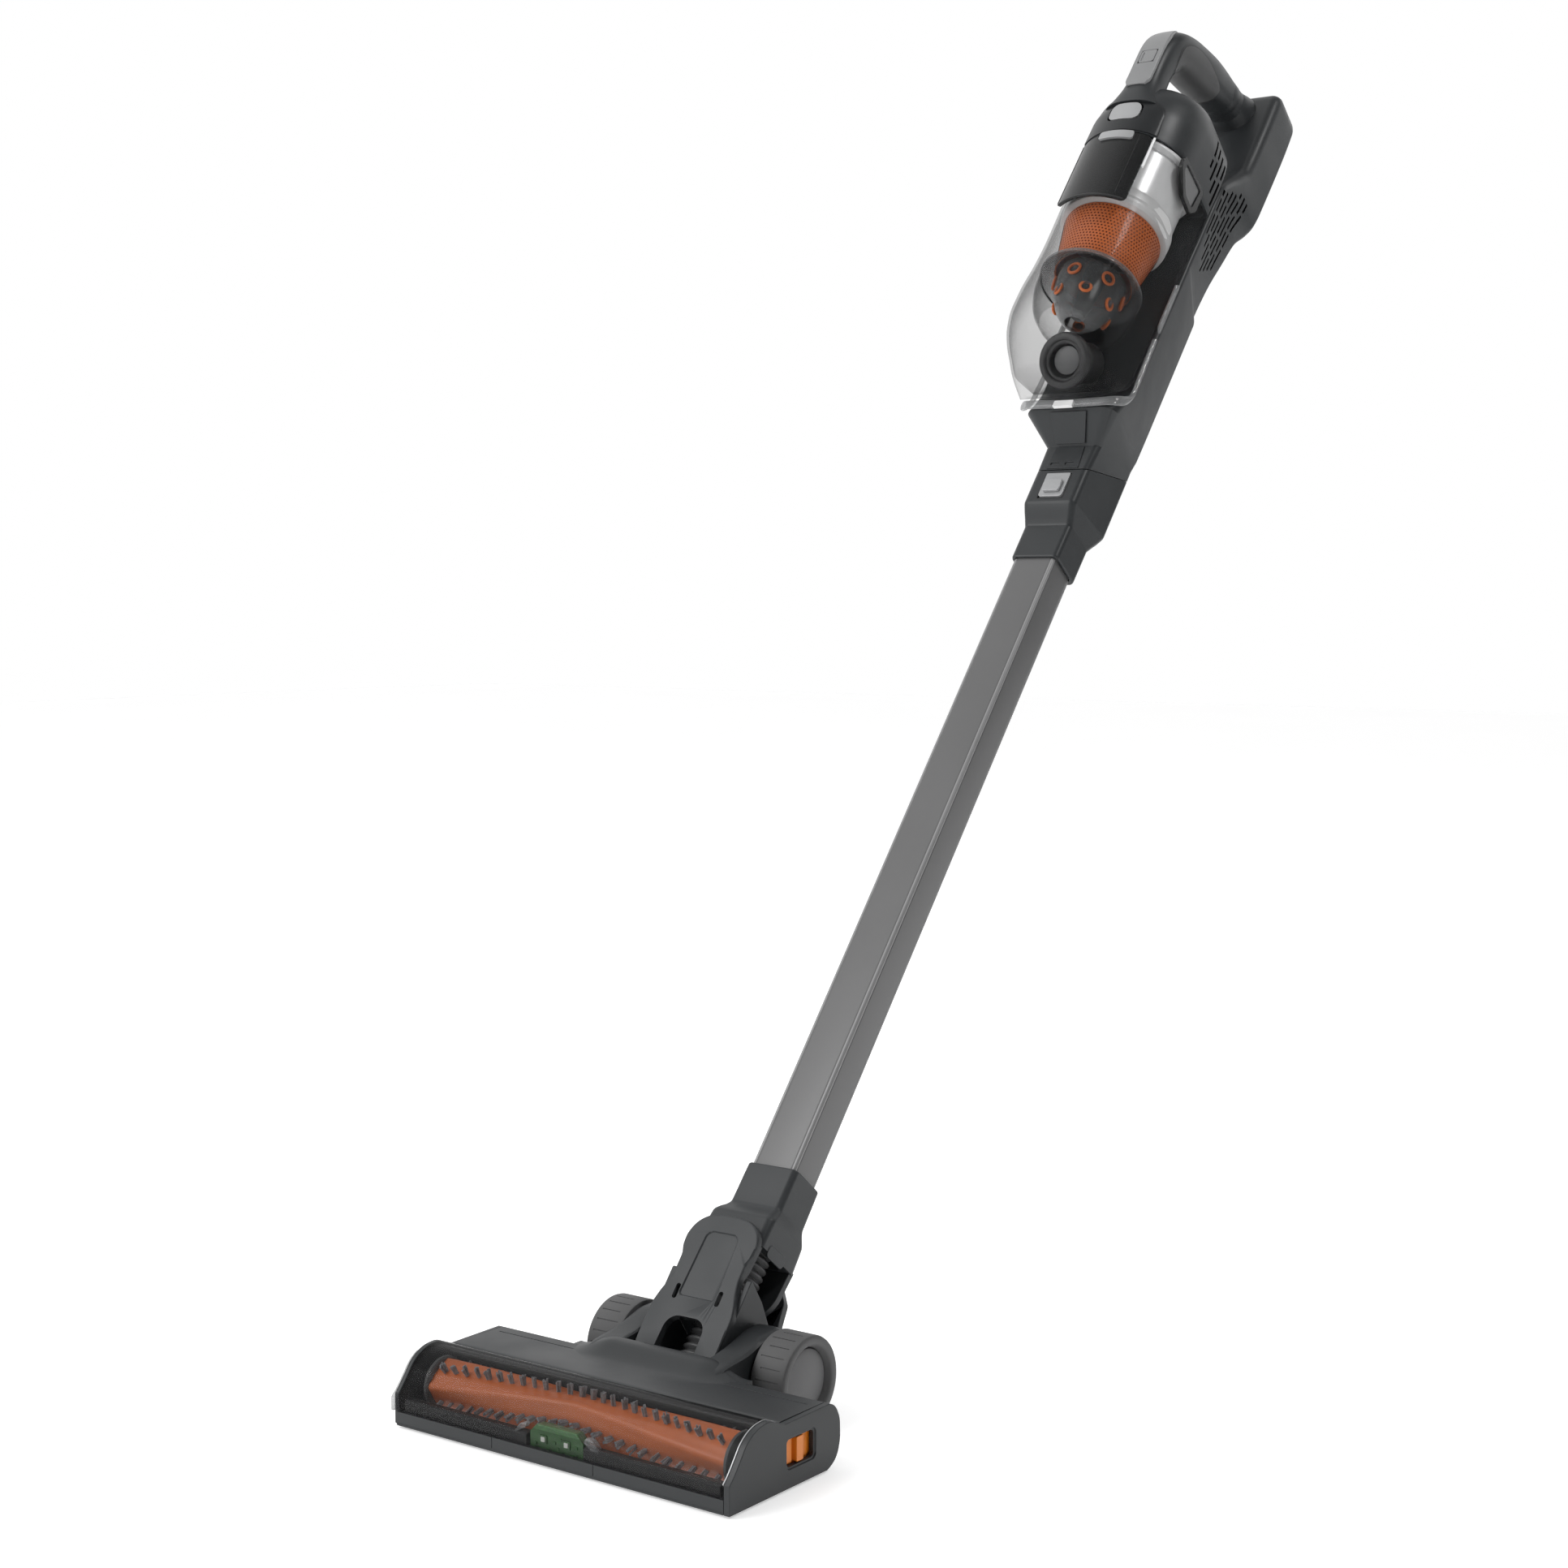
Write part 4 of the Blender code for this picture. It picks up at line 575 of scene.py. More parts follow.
def lights():
    outline = rounded(((-20, 7), (20, 7), (20, 17.6), (15, 22.4), (-15, 22.4), (-20, 17.6)), 1.2)
    plate = lofted([[Vector((p[0], y, p[1])) for p in outline] for y in (4.4, 6)])
    notches = [box(((x - 1.4, x + 1.4), (0, 10), (5, 9.4))) for x in (-14, -4.6, 5, 14.4)]
    piece("light_board_skin", plate, "floor_head", "board", cuts=[merged(notches)],
          bevel=0.2)
    parts = [extrude_board(outline)]
    for x in (-9.5, 8):
        parts.append(box(((x - 2.6, x + 2.6), (3.7, 4.4), (12.2, 17))))
    for x, z, w in ((-1.6, 14, 2.6), (1.4, 11, 1.8), (15.2, 14.4, 1.8), (-15.6, 11.4, 1.6), (3.6, 16.6, 1.2)):
        parts.append(box(((x - w / 2, x + w / 2), (3.8, 4.4), (z - 0.8, z + 0.8))))
    piece("board_parts", merged(parts), "floor_head", "board", bevel=0.15)
    leds = [box(((x - 1.5, x + 1.5), (3.2, 3.9), (13.3, 16.1))) for x in (-9.5, 8)]
    piece("light_chips", merged(leds), "floor_head", "chip", bevel=0.2)
    for side, name in ((-1, "left"), (1, "right")):
        rings = []
        for k in range(15):
            t = k / 14
            a = math.radians(8 + 76 * t)
            x = side * (20.6 + 11.5 * math.sin(a))
            z = 20.6 - 9.6 * (1 - math.cos(a)) * 1.15
            w = 1.5 + 1.2 * math.sin(math.pi * t)
            rings.append([Vector((x - w * 0.5, 3, z - w)), Vector((x + w * 0.5, 3, z + w)),
                          Vector((x + w * 0.5, 6.6, z + w)), Vector((x - w * 0.5, 6.6, z - w))])
        piece("light_guide_skin_" + name, lofted(rings), "floor_head", "thick", bevel=0.3)


AXLE_Y, AXLE_Z = 144.4, 27.9


def wheels():
    for side, name in ((-1, "left"), (1, "right")):
        body = "wheel_" + name
        outer = ((26.6, 51.8), (27.4, 52.2), (27.8, 53.2), (27.8, 74.2), (27.4, 75.4), (26.4, 76.1),
                 (25.2, 76.2), (23.2, 76.2), (22.2, 75.8), (21.6, 75), (20.2, 71.6))
        inner = (51.8, 60, 64, 68, 70, 70.2, 70.4, 70.6, 70.8, 71, 71.2)
        skin = [x_ring(r, side * x, AXLE_Y, AXLE_Z, 96) for r, x in outer]
        core = [x_ring(20, side * x, AXLE_Y, AXLE_Z, 96) for x in inner]
        slots = []
        for i in range(24):
            a = 2 * math.pi * (i + 0.3) / 24
            slot = box(((55.4 if i % 2 else 58, 72), (-0.35, 0.35), (27.35, 29)))
            bmesh.ops.rotate(slot, matrix=Matrix.Rotation(a, 3, "X"), verts=slot.verts)
            bmesh.ops.translate(slot, vec=(0, AXLE_Y, AXLE_Z), verts=slot.verts)
            if side < 0:
                bmesh.ops.scale(slot, vec=(-1, 1, 1), verts=slot.verts)
            slots.append(slot)
        piece("wheel_tyre_skin_" + name, walled(skin, core), body, "wheel",
              cuts=[merged(slots)], smooth=34)
        hub = ((19.6, 53), (19.6, 71.4), (19.2, 72.2), (18, 72.6), (0.8, 72.9), (0.4, 72.9))
        rows = [x_ring(r, side * x, AXLE_Y, AXLE_Z, 96) for r, x in hub]
        piece("wheel_hub_skin_" + name, lofted(rows), body, "hub", smooth=40)


BRACKET_TOP = ((84, 38), (88, 41.6), (93, 43.8), (99, 45), (106, 46), (116, 48),
               (128, 51.4), (140, 54.4), (150, 54.6), (157, 50), (160, 40))


def ease(low, high, value):
    """Smooth step from 0 at low to 1 at high."""
    t = min(max((value - low) / (high - low), 0), 1)
    return t * t * (3 - 2 * t)


def saddle():
    """Smooth rise from the top of the housing to the bar in front of the neck."""
    bm = bmesh.new()
    columns = [-66 + 132 * i / 48 for i in range(49)]
    spans = refine(((68, 0), (78, 0.06), (86, 0.45), (93, 0.92), (98, 1), (101.4, 0.86),
                    (103.4, 0.2), (104, -0.9)), 3)
    housing_top, rise = 38.75, 8.1
    top, low = [], []
    for x in columns:
        share = 1 - ease(34, 66, abs(x))
        pull = [y - 3 * (1 - share) * (y > 95) for y, h in spans]
        top.append([bm.verts.new((x, at, housing_top + rise * h * share - 0.6 * (1 - share)))
                    for at, (y, h) in zip(pull, spans)])
        low.append([bm.verts.new((x, at, 30 + 0.05 * (y - 68))) for at, (y, h) in zip(pull, spans)])
    for grid in (top, low):
        for a, b in zip(grid, grid[1:]):
            for k in range(len(spans) - 1):
                bm.faces.new((a[k], a[k + 1], b[k + 1], b[k]))
    for a, b in zip(range(len(columns) - 1), range(1, len(columns))):
        for k in (0, -1):
            bm.faces.new((top[a][k], top[b][k], low[b][k], low[a][k]))
    for side in (0, -1):
        for k in range(len(spans) - 1):
            bm.faces.new((top[side][k], top[side][k + 1], low[side][k + 1], low[side][k]))
    return bm


def bracket():
    """Yoke behind the housing: a bar across the back and two cheeks that sweep back to the axle."""
    parts = [saddle()]
    profile = refine(BRACKET_TOP, 3) + [(158, 22), (148, 12.4), (136, 12), (112, 16), (103.2, 24)]
    mid = Vector((125, 32))
    for side in (-1, 1):
        rings = []
        for x, inset in ((32.4, 1.4), (33.4, 0.3), (35, 0), (45.6, 0), (49, 0.8), (50.6, 2.6)):
            rings.append([Vector((side * x, q[0], q[1])) for q in
                          [Vector(p) + (mid - Vector(p)).normalized() * inset for p in profile]])
        parts.append(lofted(rings))
    piece("axle_bracket_skin", merged(parts), "floor_head", "dark", bevel=0.8, smooth=40)


# ---------------------------------------------------------------- neck

FORK_HALF = ((30.6, 24), (31.2, 34), (31.2, 52), (29.8, 60), (26.6, 70), (24.8, 80), (24.8, 88),
             (27, 96), (27.2, 101), (25.4, 107.6), (21, 113.6), (14, 117.4), (5, 118.6))


def fork_outline():
    right = [(p[0], p[1]) for p in refine(FORK_HALF, 4)]
    return right + [(-x, s) for x, s in reversed(right)]


def fork():
    outline = fork_outline()
    mid = Vector((0, 74))

    def ring(n, inset):
        out = []
        for x, s in outline:
            p = Vector((x, s))
            if s > 25:
                p += (mid - p).normalized() * inset
            out.append(stick(p[0], n, p[1]))
        return out

    front = lofted([ring(27.4, 0), ring(31, 0), ring(32, 0.5), ring(32.5, 1.6)])
    window = rounded(((-16.4, 4), (16.4, 4), (14.6, 49.6), (-14.6, 49.6)), 9, 8)
    cuts = [extrude_n(window, 18, 40)]
    corners = ((-1, -1), (1, -1), (1, 1), (-1, 1))
    for side in (-1, 1):
        slot = rounded([(side * 16.4 + a * 1.7, 64.6 + b * 5) for a, b in corners], 1.6)
        cuts.append(extrude_n(slot, 20, 40))
    inset = rounded(((-13.4, 63), (13.4, 63), (11.6, 106), (-11.6, 106)), (2.4, 2.4, 5, 5))
    grow = [(p[0] * 1.07, 84.5 + (p[1] - 84.5) * 1.035) for p in inset]
    cuts.append(lofted([[stick(p[0], n, p[1]) for p in ring_] for n, ring_ in
                        ((31.8, inset), (32.5, grow), (36, grow))]))
    piece("neck_fork_front", front, "neck_fork", "neck", ["neck_fork"], cuts=cuts,
          bevel=0.5, smooth=40)
    walls = []
    for side in (-1, 1):
        profile = rounded(((-22.8, 30), (-22.8, 58), (10, 76), (28, 82), (28, 26), (12, 18),
                           (-8, 22)), (2, 6, 8, 1, 1, 6, 6))
        walls.append(extrude_side(profile, side * 26.8, side * 30.6))
        inner = rounded(((-8, 30), (-8, 44), (28, 56), (28, 14), (12, 14)), 2)
        walls.append(extrude_side(inner, side * 16.6, side * 18.6))
    half = ((30.4, 30), (30.4, 60), (24, 76), (22, 90), (13, 102))
    radii = (1, 12, 12, 8, 8)
    rear = rounded(half + tuple((-x, s) for x, s in half[::-1]), radii + radii[::-1])
    walls.append(extrude_n(rear, -28, -22.4))
    cuts = [extrude_n(rounded(((x0, 66), (x1, 66), (x1, 84), (x0, 84)), 1.2), -40, -10)
            for x0, x1 in ((-19.4, -16.6), (16.6, 19.4))]
    piece("neck_fork_walls", merged(walls), "neck_fork", "neck", cuts=cuts, bevel=0.5,
          smooth=40)


SOCKET_ROWS = ((163, -16.6, 15.2, 19, 4), (162, -17, 15.6, 19.4, 4), (136, -17.2, 16.4, 19.6, 4),
               (133.5, -17.4, 17.2, 20.2, 4.2), (126, -18.4, 24, 23.4, 5), (123.6, -18.6, 25, 24, 5),
               (106, -18.8, 26.6, 24.6, 5))


def socket():
    rings = [[stick(p[0], p[1], s) for p in section(b, f, h, h, r, r)]
             for s, b, f, h, r in refine(SOCKET_ROWS, 3)]
    core = []
    for s, b, f, h, r in ((175, -14.2, 14.2, 17.1, 3.4), (131, -14.2, 14.2, 17.1, 3.4),
                          (122, -12, 18, 17, 4), (95, -12, 19.4, 17.6, 4)):
        core.append([stick(p[0], p[1], s) for p in section(b, f, h, h, r, r)])
    piece("neck_socket_skin", lofted(rings), "neck_socket", "neck", cuts=[lofted(core)],
          bevel=0.6, smooth=40, limit=50)
    tongues = []
    for reach in ((21, 26.4), (-18.4, -13.6)):
        disc = [(22 * math.cos(a), 92 + 22 * math.sin(a)) for a in
                [math.pi + math.pi * k / 32 for k in range(33)]]
        tongues.append(extrude_n(disc + [(23.4, 108), (-23.4, 108)], *reach))
    piece("neck_tongues", merged(tongues), "neck_socket", "neck", bevel=0.5)
    catch = rounded(((-3, 103), (17, 103), (17, 111), (-3, 111)), 3)
    piece("neck_side_tab", extrude_side(catch, 23.6, 24.9), "neck_socket", "neck",
          bevel=0.4)


def hose():
    skin, core = [], []
    ribs, steps = 19, 8
    for i in range(ribs * steps + 1):
        u = i / (ribs * steps)
        s = 16 + 97 * u
        n = 1 + 5 * (1 - u) ** 3
        wave = 0.5 - 0.5 * math.cos(2 * math.pi * i / steps)
        r = 11.4 + 2.8 * wave ** 0.6
        skin.append(stick_ring(r, s, n, 48))
        core.append(stick_ring(8.6, s, n, 48))
    piece("neck_hose_skin", walled(skin, core), "neck_fork", "hose", smooth=60)


# ---------------------------------------------------------------- wand

def wand():
    half, out, r = 16.55, 13.7, 3.9
    wall = 1.6
    outline = section(-out, out, half, half, r, r, 10)
    inside = section(-out + wall, out - wall, half - wall, half - wall, 2.6, 2.6, 10)
    skin, core = [[[stick(p[0], p[1], s) for p in line] for s in (135, 706)] for line in (outline, inside)]
    piece("wand_tube_skin", walled(skin, core), "wand", "tube", smooth=45)
    # corner beads in a lighter grey: a painted highlight along all four edges of the tube
    beads = []
    for sx in (-1, 1):
        for sn in (-1, 1):
            ring = circle(1.75, 12, (sx * (half - r * 0.44), sn * (out - r * 0.44)))
            beads.append(lofted([[stick(x, n, s) for x, n in ring] for s in (162, 658)]))
    piece("wand_corner_beads", merged(beads), "wand", "tube_edge", smooth=60)


COLLAR_ROWS = ((658.4, 658.4, -17, 15.2, 19, 4.2), (660, 660, -17.4, 15.8, 19.4, 4.2),
               (688, 687, -17.6, 15.6, 19.6, 4.2), (691, 689, -18.8, 16.4, 19.8, 4.2),
               (706, 700, -26.4, 24.2, 21.2, 4.6), (711, 703, -28, 25.4, 21.6, 4.8),
               (765.4, 731.6, -28, 25.5, 21.6, 4.8))


def tilted(row):
    """A rounded section whose back and front are at different heights along the stick."""
    s_back, s_front, back, front, half_back, half_front, r_back, r_front = row
    rise = (s_front - s_back) / (front - back)
    outline = section(back, front, half_back, half_front, r_back, r_front)
    return [stick(p[0], p[1], s_back + (p[1] - back) * rise) for p in outline]


def collar():
    rows = [tilted((sb, sf, b, f, h, h, r, r)) for sb, sf, b, f, h, r in refine(COLLAR_ROWS, 3)]
    core = lofted([tilted((640, 640, -14.3, 14.3, 17.2, 17.2, 3.4, 3.4)),
                   tilted((707, 707, -14.3, 14.3, 17.2, 17.2, 3.4, 3.4))])
    mouth = lofted([tilted((706, 706, -23, 15.5, 18, 18, 3.6, 3.6)),
                    tilted((790, 770, -23, 15.5, 18, 18, 3.6, 3.6))])
    pocket = stick_box((-10.3, 10.3), (18.5, 30), (705.5, 728.5))
    piece("wand_collar_skin", lofted(rows), "wand", "dark", cuts=[core, mouth, pocket],
          bevel=0.6, smooth=36, limit=50)
    base = extrude_n(rounded(((-9.8, 706), (9.8, 706), (9.8, 728), (-9.8, 728)), (2.4, 2.4, 0.8, 0.8)),
                     23, 26.6)
    dish = extrude_n(rounded(((-8.4, 708), (8.4, 708), (8.4, 722), (-8.4, 722)), 1.8), 26, 27.4)
    hollow = extrude_n(rounded(((-6.8, 709.6), (6.8, 709.6), (6.8, 720.4), (-6.8, 720.4)), 1.4), 26.9, 29)
    piece("tube_button_skin", merged([base, dish]), "tube_button", "silver",
          ["tube_release_button"], cuts=[hollow], bevel=0.3)


# ---------------------------------------------------------------- handheld unit

BODY_ROWS = ((766, 732.2, -28, 25.5, 21.5, 21.5, 4.6, 4.6), (774, 755, -28, 25.5, 21.5, 22.5, 5, 5),
             (784, 771.5, -28, 47.5, 22, 39, 5, 9), (786, 773.5, -28, 47, 22, 39.4, 5, 9),
             (793, 780, -28, 42.5, 22, 39.8, 5, 6), (802, 790, -28, 37.5, 22, 40.2, 5, 4),
             (814, 804, -28, 34, 22, 40.6, 5, 3), (860, 860, -28, 34, 22, 41, 5, 3),
             (922, 922, -28, 34, 22, 42, 5, 3), (925, 925, -27, 34, 22, 42, 5, 3),
             (928, 928, -24, 34, 22, 42, 5, 3), (955, 955, -24.2, 34, 23.2, 42.5, 5, 3),
             (988, 988, -26.6, 34, 26, 42.5, 5, 3), (1010, 1010, -28, 32, 28.6, 42, 5, 4),
             (1022, 1024, -31.6, 26, 33, 40.5, 5.5, 6), (1034, 1042, -34.2, 15, 35.6, 38.6, 5.5, 8),
             (1048, 1062, -35.4, 5.6, 36.2, 37.2, 5.5, 8), (1110, 1110, -36.4, 4.4, 36.2, 36.8, 5.5, 8),
             (1140, 1140, -35.8, 4.2, 35.8, 36.4, 5.5, 8), (1146, 1146, -34, 3, 34.6, 35.2, 5, 7.5),
             (1149.2, 1149.2, -31.4, 0.4, 32.2, 32.8, 4, 6), (1150, 1150, -29, -2, 30, 30.6, 3, 5))


def body_shell():
    rows = BODY_ROWS[:3] + tuple(refine(BODY_ROWS[2:], 4)[1:])
    body = lofted([tilted(row) for row in rows])
    slots = []
    for n, low, high in vent_lines():
        for side in (-1, 1):
            deep = min(body_half(n, low), body_half(n, high)) - VENT_DEPTH
            across = sorted((side * deep, side * 60))
            slots.append(stick_box(across, (n - VENT_HALF, n + VENT_HALF), (low, high)))
    mouth = lofted([tilted((780, 725, -23.5, 16, 18.2, 18.2, 3.6, 3.6)),
                    tilted((790, 775, -23.5, 16, 18.2, 18.2, 3.6, 3.6))])
    piece("main_housing_skin", body, "handheld", "dark", cuts=[mouth], late=[merged(slots)],
          bevel=0.5, smooth=30, limit=50)


def body_half(n, s):
    """Half width of the housing at a place on its slanted side."""
    for a, b in zip(BODY_ROWS, BODY_ROWS[1:]):
        if a[1] <= s <= b[1]:
            t = (s - a[1]) / (b[1] - a[1])
            back, front, half_back, half_front = [a[k] + (b[k] - a[k]) * t for k in (2, 3, 4, 5)]
            return half_back + (half_front - half_back) * (n - back) / (front - back)
    return 36


VENT_PITCH = 6.4
VENT_HALF = 1.25
VENT_DEPTH = 9
VENT_LENGTHS = (21, 13, 17)
VENT_GAP = 3.2


def vent_lines():
    """Exhaust slots: staggered lines along the stick inside a slanted field."""
    out = []
    for i in range(7):
        n = 28.5 - VENT_PITCH * i
        low = 944 + 1.1 * abs(n - 10)
        high = min(1010 + 0.9 * (29.5 - n), 1036)
        s, k = low, i
        while s < high - 5:
            end = min(s + VENT_LENGTHS[k % 3], high)
            out.append((n, s, end))
            s, k = end + VENT_GAP, k + 1
    return out


DOME_ROWS = ((974.8, 34.6, 127.4, 41.6, 47.2, 44), (1000, 34.6, 127.2, 42.2, 47.2, 44),
             (1015, 34.6, 124.8, 42, 46.6, 43), (1028, 34.6, 119.4, 40.4, 44.6, 40),
             (1037, 35.6, 111.6, 37, 40.6, 36), (1042.6, 38.6, 103, 31.6, 34.4, 30),
             (1045, 44, 93, 23, 26, 22))


DOME_AXIS = 80
BUTTON_OPENING = (-15.1, 18.1, 986.6, 1005, 6, -6, 6)


def dome_ring(row):
    s, back, front, half_back, half_front, round_front = row
    outline = section(back, front, half_back, half_front, 4, round_front, 14)
    return [stick(p[0], p[1], s) for p in outline]


def dome():
    rows = refine(DOME_ROWS, 5)
    rows += [(1045.8, 52, 84, 14, 16, 12)]
    body = lofted([dome_ring(row) for row in rows])
    hollow = lofted([dome_ring((s, b + 2.4, f - 2.4, hb - 2.4, hf - 2.4, r - 2)) for s, b, f, hb, hf, r in
                     ((970,) + DOME_ROWS[0][1:], DOME_ROWS[2], DOME_ROWS[4])])
    slots = []
    for i in range(4):
        n = 60 - VENT_PITCH * i
        low, high = 1002 - 6.9 * i, 1030 - 2 * i
        mid = (low + high) / 2 + (4 if i % 2 else -4)
        for a, b in ((low, mid - 1.7), (mid + 1.7, high)):
            if b - a > 3:
                slots.append(stick_box((34, 60), (n - VENT_HALF, n + VENT_HALF), (a, b)))
                slots.append(stick_box((-60, -30), (n - VENT_HALF, n + VENT_HALF), (a, b)))
    piece("motor_housing_skin", body, "handheld", "dark",
          cuts=[hollow, plate(*BUTTON_OPENING)], late=[merged(slots)], bevel=0.35, smooth=40, limit=50)
    brow()
    piece("bowl_button_skin", plate(-13.5, 16.5, 987.4, 1004.2, 6, -3, 1.4), "bowl_button",
          "silver", ["bowl_release_button"], bevel=0.5)


def dome_radius(s):
    """How far the dome's front stands from its axis."""
    for a, b in zip(DOME_ROWS, DOME_ROWS[1:]):
        if a[0] <= s <= b[0]:
            t = (s - a[0]) / (b[0] - a[0])
            return a[2] + (b[2] - a[2]) * t - DOME_AXIS
    return 47.4


def brow():
    """Raised front of the dome round the release button, ending in a curved ridge."""
    spread_angle = 40.5
    rings = []
    for k in range(41):
        angle = -spread_angle + 2 * spread_angle * k / 40
        top = 1018.6 - 17.5 * (abs(angle) / spread_angle) ** 2.6
        if abs(angle) > 38:
            top -= 22 * (abs(angle) - 38) / 2.5
        a = math.radians(angle)
        rows = [976 + (top - 976) * j / 12 for j in range(13)]
        fade = [min(1, (top - s) / 2 + 0.15) * min(1, (spread_angle - abs(angle)) / 2 + 0.15)
                for s in rows]
        over = [(dome_radius(s) + f, s) for s, f in zip(rows, fade)]
        under = [(dome_radius(s) - 1.2, s) for s in reversed(rows)]
        rings.append([stick(r * math.sin(a), DOME_AXIS + r * math.cos(a), s) for r, s in over + under])
    piece("dome_brow", lofted(rings), "handheld", "brow", cuts=[plate(*BUTTON_OPENING)],
          smooth=40)


def plate(a0, a1, s0, s1, corner, low, high, middle=(80, 47.2), rows=12, columns=12):
    """Curved plate on the round front of the bowl or dome, between two angles in degrees."""
    n0, r = middle
    rings = []
    for k in range(rows + 1):
        t = 0.5 - 0.5 * math.cos(math.pi * k / rows)
        s = s0 + (s1 - s0) * t
        e = min(s - s0, s1 - s, corner)
        trim = corner - math.sqrt(max(corner ** 2 - (corner - e) ** 2, 0))
        da = math.degrees(trim / r)
        angles = [math.radians(a0 + da + (a1 - a0 - 2 * da) * j / columns) for j in range(columns + 1)]
        under = [stick((r + low) * math.sin(a), n0 + (r + low) * math.cos(a), s) for a in angles]
        over = [stick((r + high) * math.sin(a), n0 + (r + high) * math.cos(a), s) for a in reversed(angles)]
        rings.append(under + over)
    return lofted(rings)


HANDLE_ROWS = ((1008, 112, 24, 17.5), (1018, 113.2, 18.6, 15.6), (1028, 114.2, 15.2, 13.8),
               (1040, 114.8, 14.2, 12.9),
               (1052, 115, 14, 12.8), (1068, 114, 14.4, 13.4), (1080.5, 109.6, 15.2, 14.4),
               (1089, 101.5, 15.8, 15.4), (1096, 90, 16, 16.6), (1103, 75, 16, 17.4),
               (1110, 59, 15.8, 17.6), (1116, 44, 15, 16.6), (1121, 29, 14.4, 15),
               (1124, 16, 15, 15), (1126, 6, 17, 17), (1127, -2, 20, 19))


def handle_frames():
    """Places along the handle's centre line: point, outward direction, half width and half depth."""
    rows = catmull(HANDLE_ROWS, 5)
    out = []
    for i, (s, n, half, depth) in enumerate(rows):
        a = rows[max(i - 1, 0)]
        b = rows[min(i + 1, len(rows) - 1)]
        along = Vector((b[0] - a[0], b[1] - a[1])).normalized()
        out.append((Vector((s, n)), Vector((-along[1], along[0])), half, depth))
    return out


def catmull(rows, per):
    """Smooth curve through the rows of a table."""
    out = []
    count = len(rows)
    for i in range(count - 1):
        p0, p1, p2, p3 = rows[max(i - 1, 0)], rows[i], rows[i + 1], rows[min(i + 2, count - 1)]
        for k in range(per):
            u = k / per
            out.append([0.5 * (2 * b + (c - a) * u + (2 * a - 5 * b + 4 * c - d) * u * u
                               + (3 * b - a - 3 * c + d) * u ** 3) for a, b, c, d in zip(p0, p1, p2, p3)])
    out.append(list(rows[-1]))
    return out


def squircle(half, depth, angle, power=0.8):
    """Point of an oval with slightly flattened sides."""
    c, s = math.cos(angle), math.sin(angle)
    return (half * math.copysign(abs(c) ** power, c), depth * math.copysign(abs(s) ** power, s))


def handle_point(spot, across, out):
    """Point beside the handle's centre line: across the stick, and outwards from the line."""
    place = spot[0] + spot[1] * out
    return stick(across, place[1], place[0])


def handle():
    frames = handle_frames()
    rings = []
    turns = [2 * math.pi * k / 48 for k in range(48)]
    for spot in frames:
        pairs = [squircle(spot[2], spot[3], a) for a in turns]
        rings.append([handle_point(spot, x, m) for x, m in pairs])
    dome_cut = lofted([dome_ring(row) for row in ((970,) + DOME_ROWS[0][1:],) + DOME_ROWS[1:]])
    piece("handle_shell_skin", lofted(rings), "handheld", "dark", cuts=[dome_cut],
          smooth=50)
    strip_rows = []
    start, end = 9, 37
    full, foot, taper = 10.4, 0.08, 0.62
    for i in range(start, end + 1):
        spot = frames[i]
        t = (i - start) / (end - start)
        half = full
        if t < foot:
            half = 7.8 + 2.6 * (t / foot)
        if t > taper:
            half = max(full * (1 - ((t - taper) / 0.38) ** 1.6), 0.8)
        low, high = spot[3] - 2, spot[3] + 0.55
        pairs = ((-half, low), (half, low), (half, high - 0.5), (half - 0.5, high), (half * 0.5, high + 0.25),
                 (0, high + 0.35), (-half * 0.5, high + 0.25), (0.5 - half, high), (-half, high - 0.5))
        strip_rows.append([handle_point(spot, x, m) for x, m in pairs])
    pocket = stick_box((-6.9, 6.9), (123.6, 135), (1048.5, 1062.5))
    piece("control_strip_skin", lofted(strip_rows), "handheld", "strip", cuts=[pocket],
          smooth=30)
    button = extrude_n(rounded(((-6.4, 1049), (6.4, 1049), (6.4, 1062), (-6.4, 1062)), 2), 125, 128.9)
    slit = stick_box((-4.6, -3.6), (128.2, 130), (1051, 1060))
    piece("power_button_skin", button, "power_button", "strip", cuts=[slit], bevel=0.5)
    inlay(frames, "inlay_seam", 0.45, 4.5, "rubber")
    inlay(frames, "grip_inlay_skin", 1.15, 0, "grip")
    collar_rings = []
    for i, grow in ((59, 0), (60, 0.6), (62, 0.7), (63, -0.6), (64, -0.6), (65, 0.5), (67, 1), (69, 1.6),
                    (71, 2)):
        spot = frames[i]
        pairs = [squircle(spot[2] + grow, spot[3] + grow, a, 0.9) for a in turns]
        collar_rings.append([handle_point(spot, x, m) for x, m in pairs])
    piece("grip_joint", lofted(collar_rings), "handheld", "dark", smooth=50)


def inlay(frames, name, rise, margin, look):
    """Soft pad let into the inside of the grip."""
    rings = []
    spots = frames[22:54]
    for i, spot in enumerate(spots):
        t = i / (len(spots) - 1)
        swell = max(math.sin(math.pi * t), 0) ** 0.4
        if margin == 0 and (i < 1 or i > len(spots) - 2):
            continue
        span = math.radians(34 + 66 * swell + margin)
        angles = [-math.pi / 2 - span + 2 * span * k / 32 for k in range(33)]
        edge = [min(1, 0.3 + 2.4 * min(k, 32 - k) / 32) * min(1, 0.35 + 6 * min(t, 1 - t))
                for k in range(33)]
        low = [squircle(spot[2] - 1, spot[3] - 1, a) for a in angles]
        high = [squircle(spot[2] + rise * e, spot[3] + rise * e, a) for a, e in zip(reversed(angles), edge)]
        rings.append([handle_point(spot, x, m) for x, m in low + high])
    piece(name, lofted(rings), "handheld", look, smooth=50)


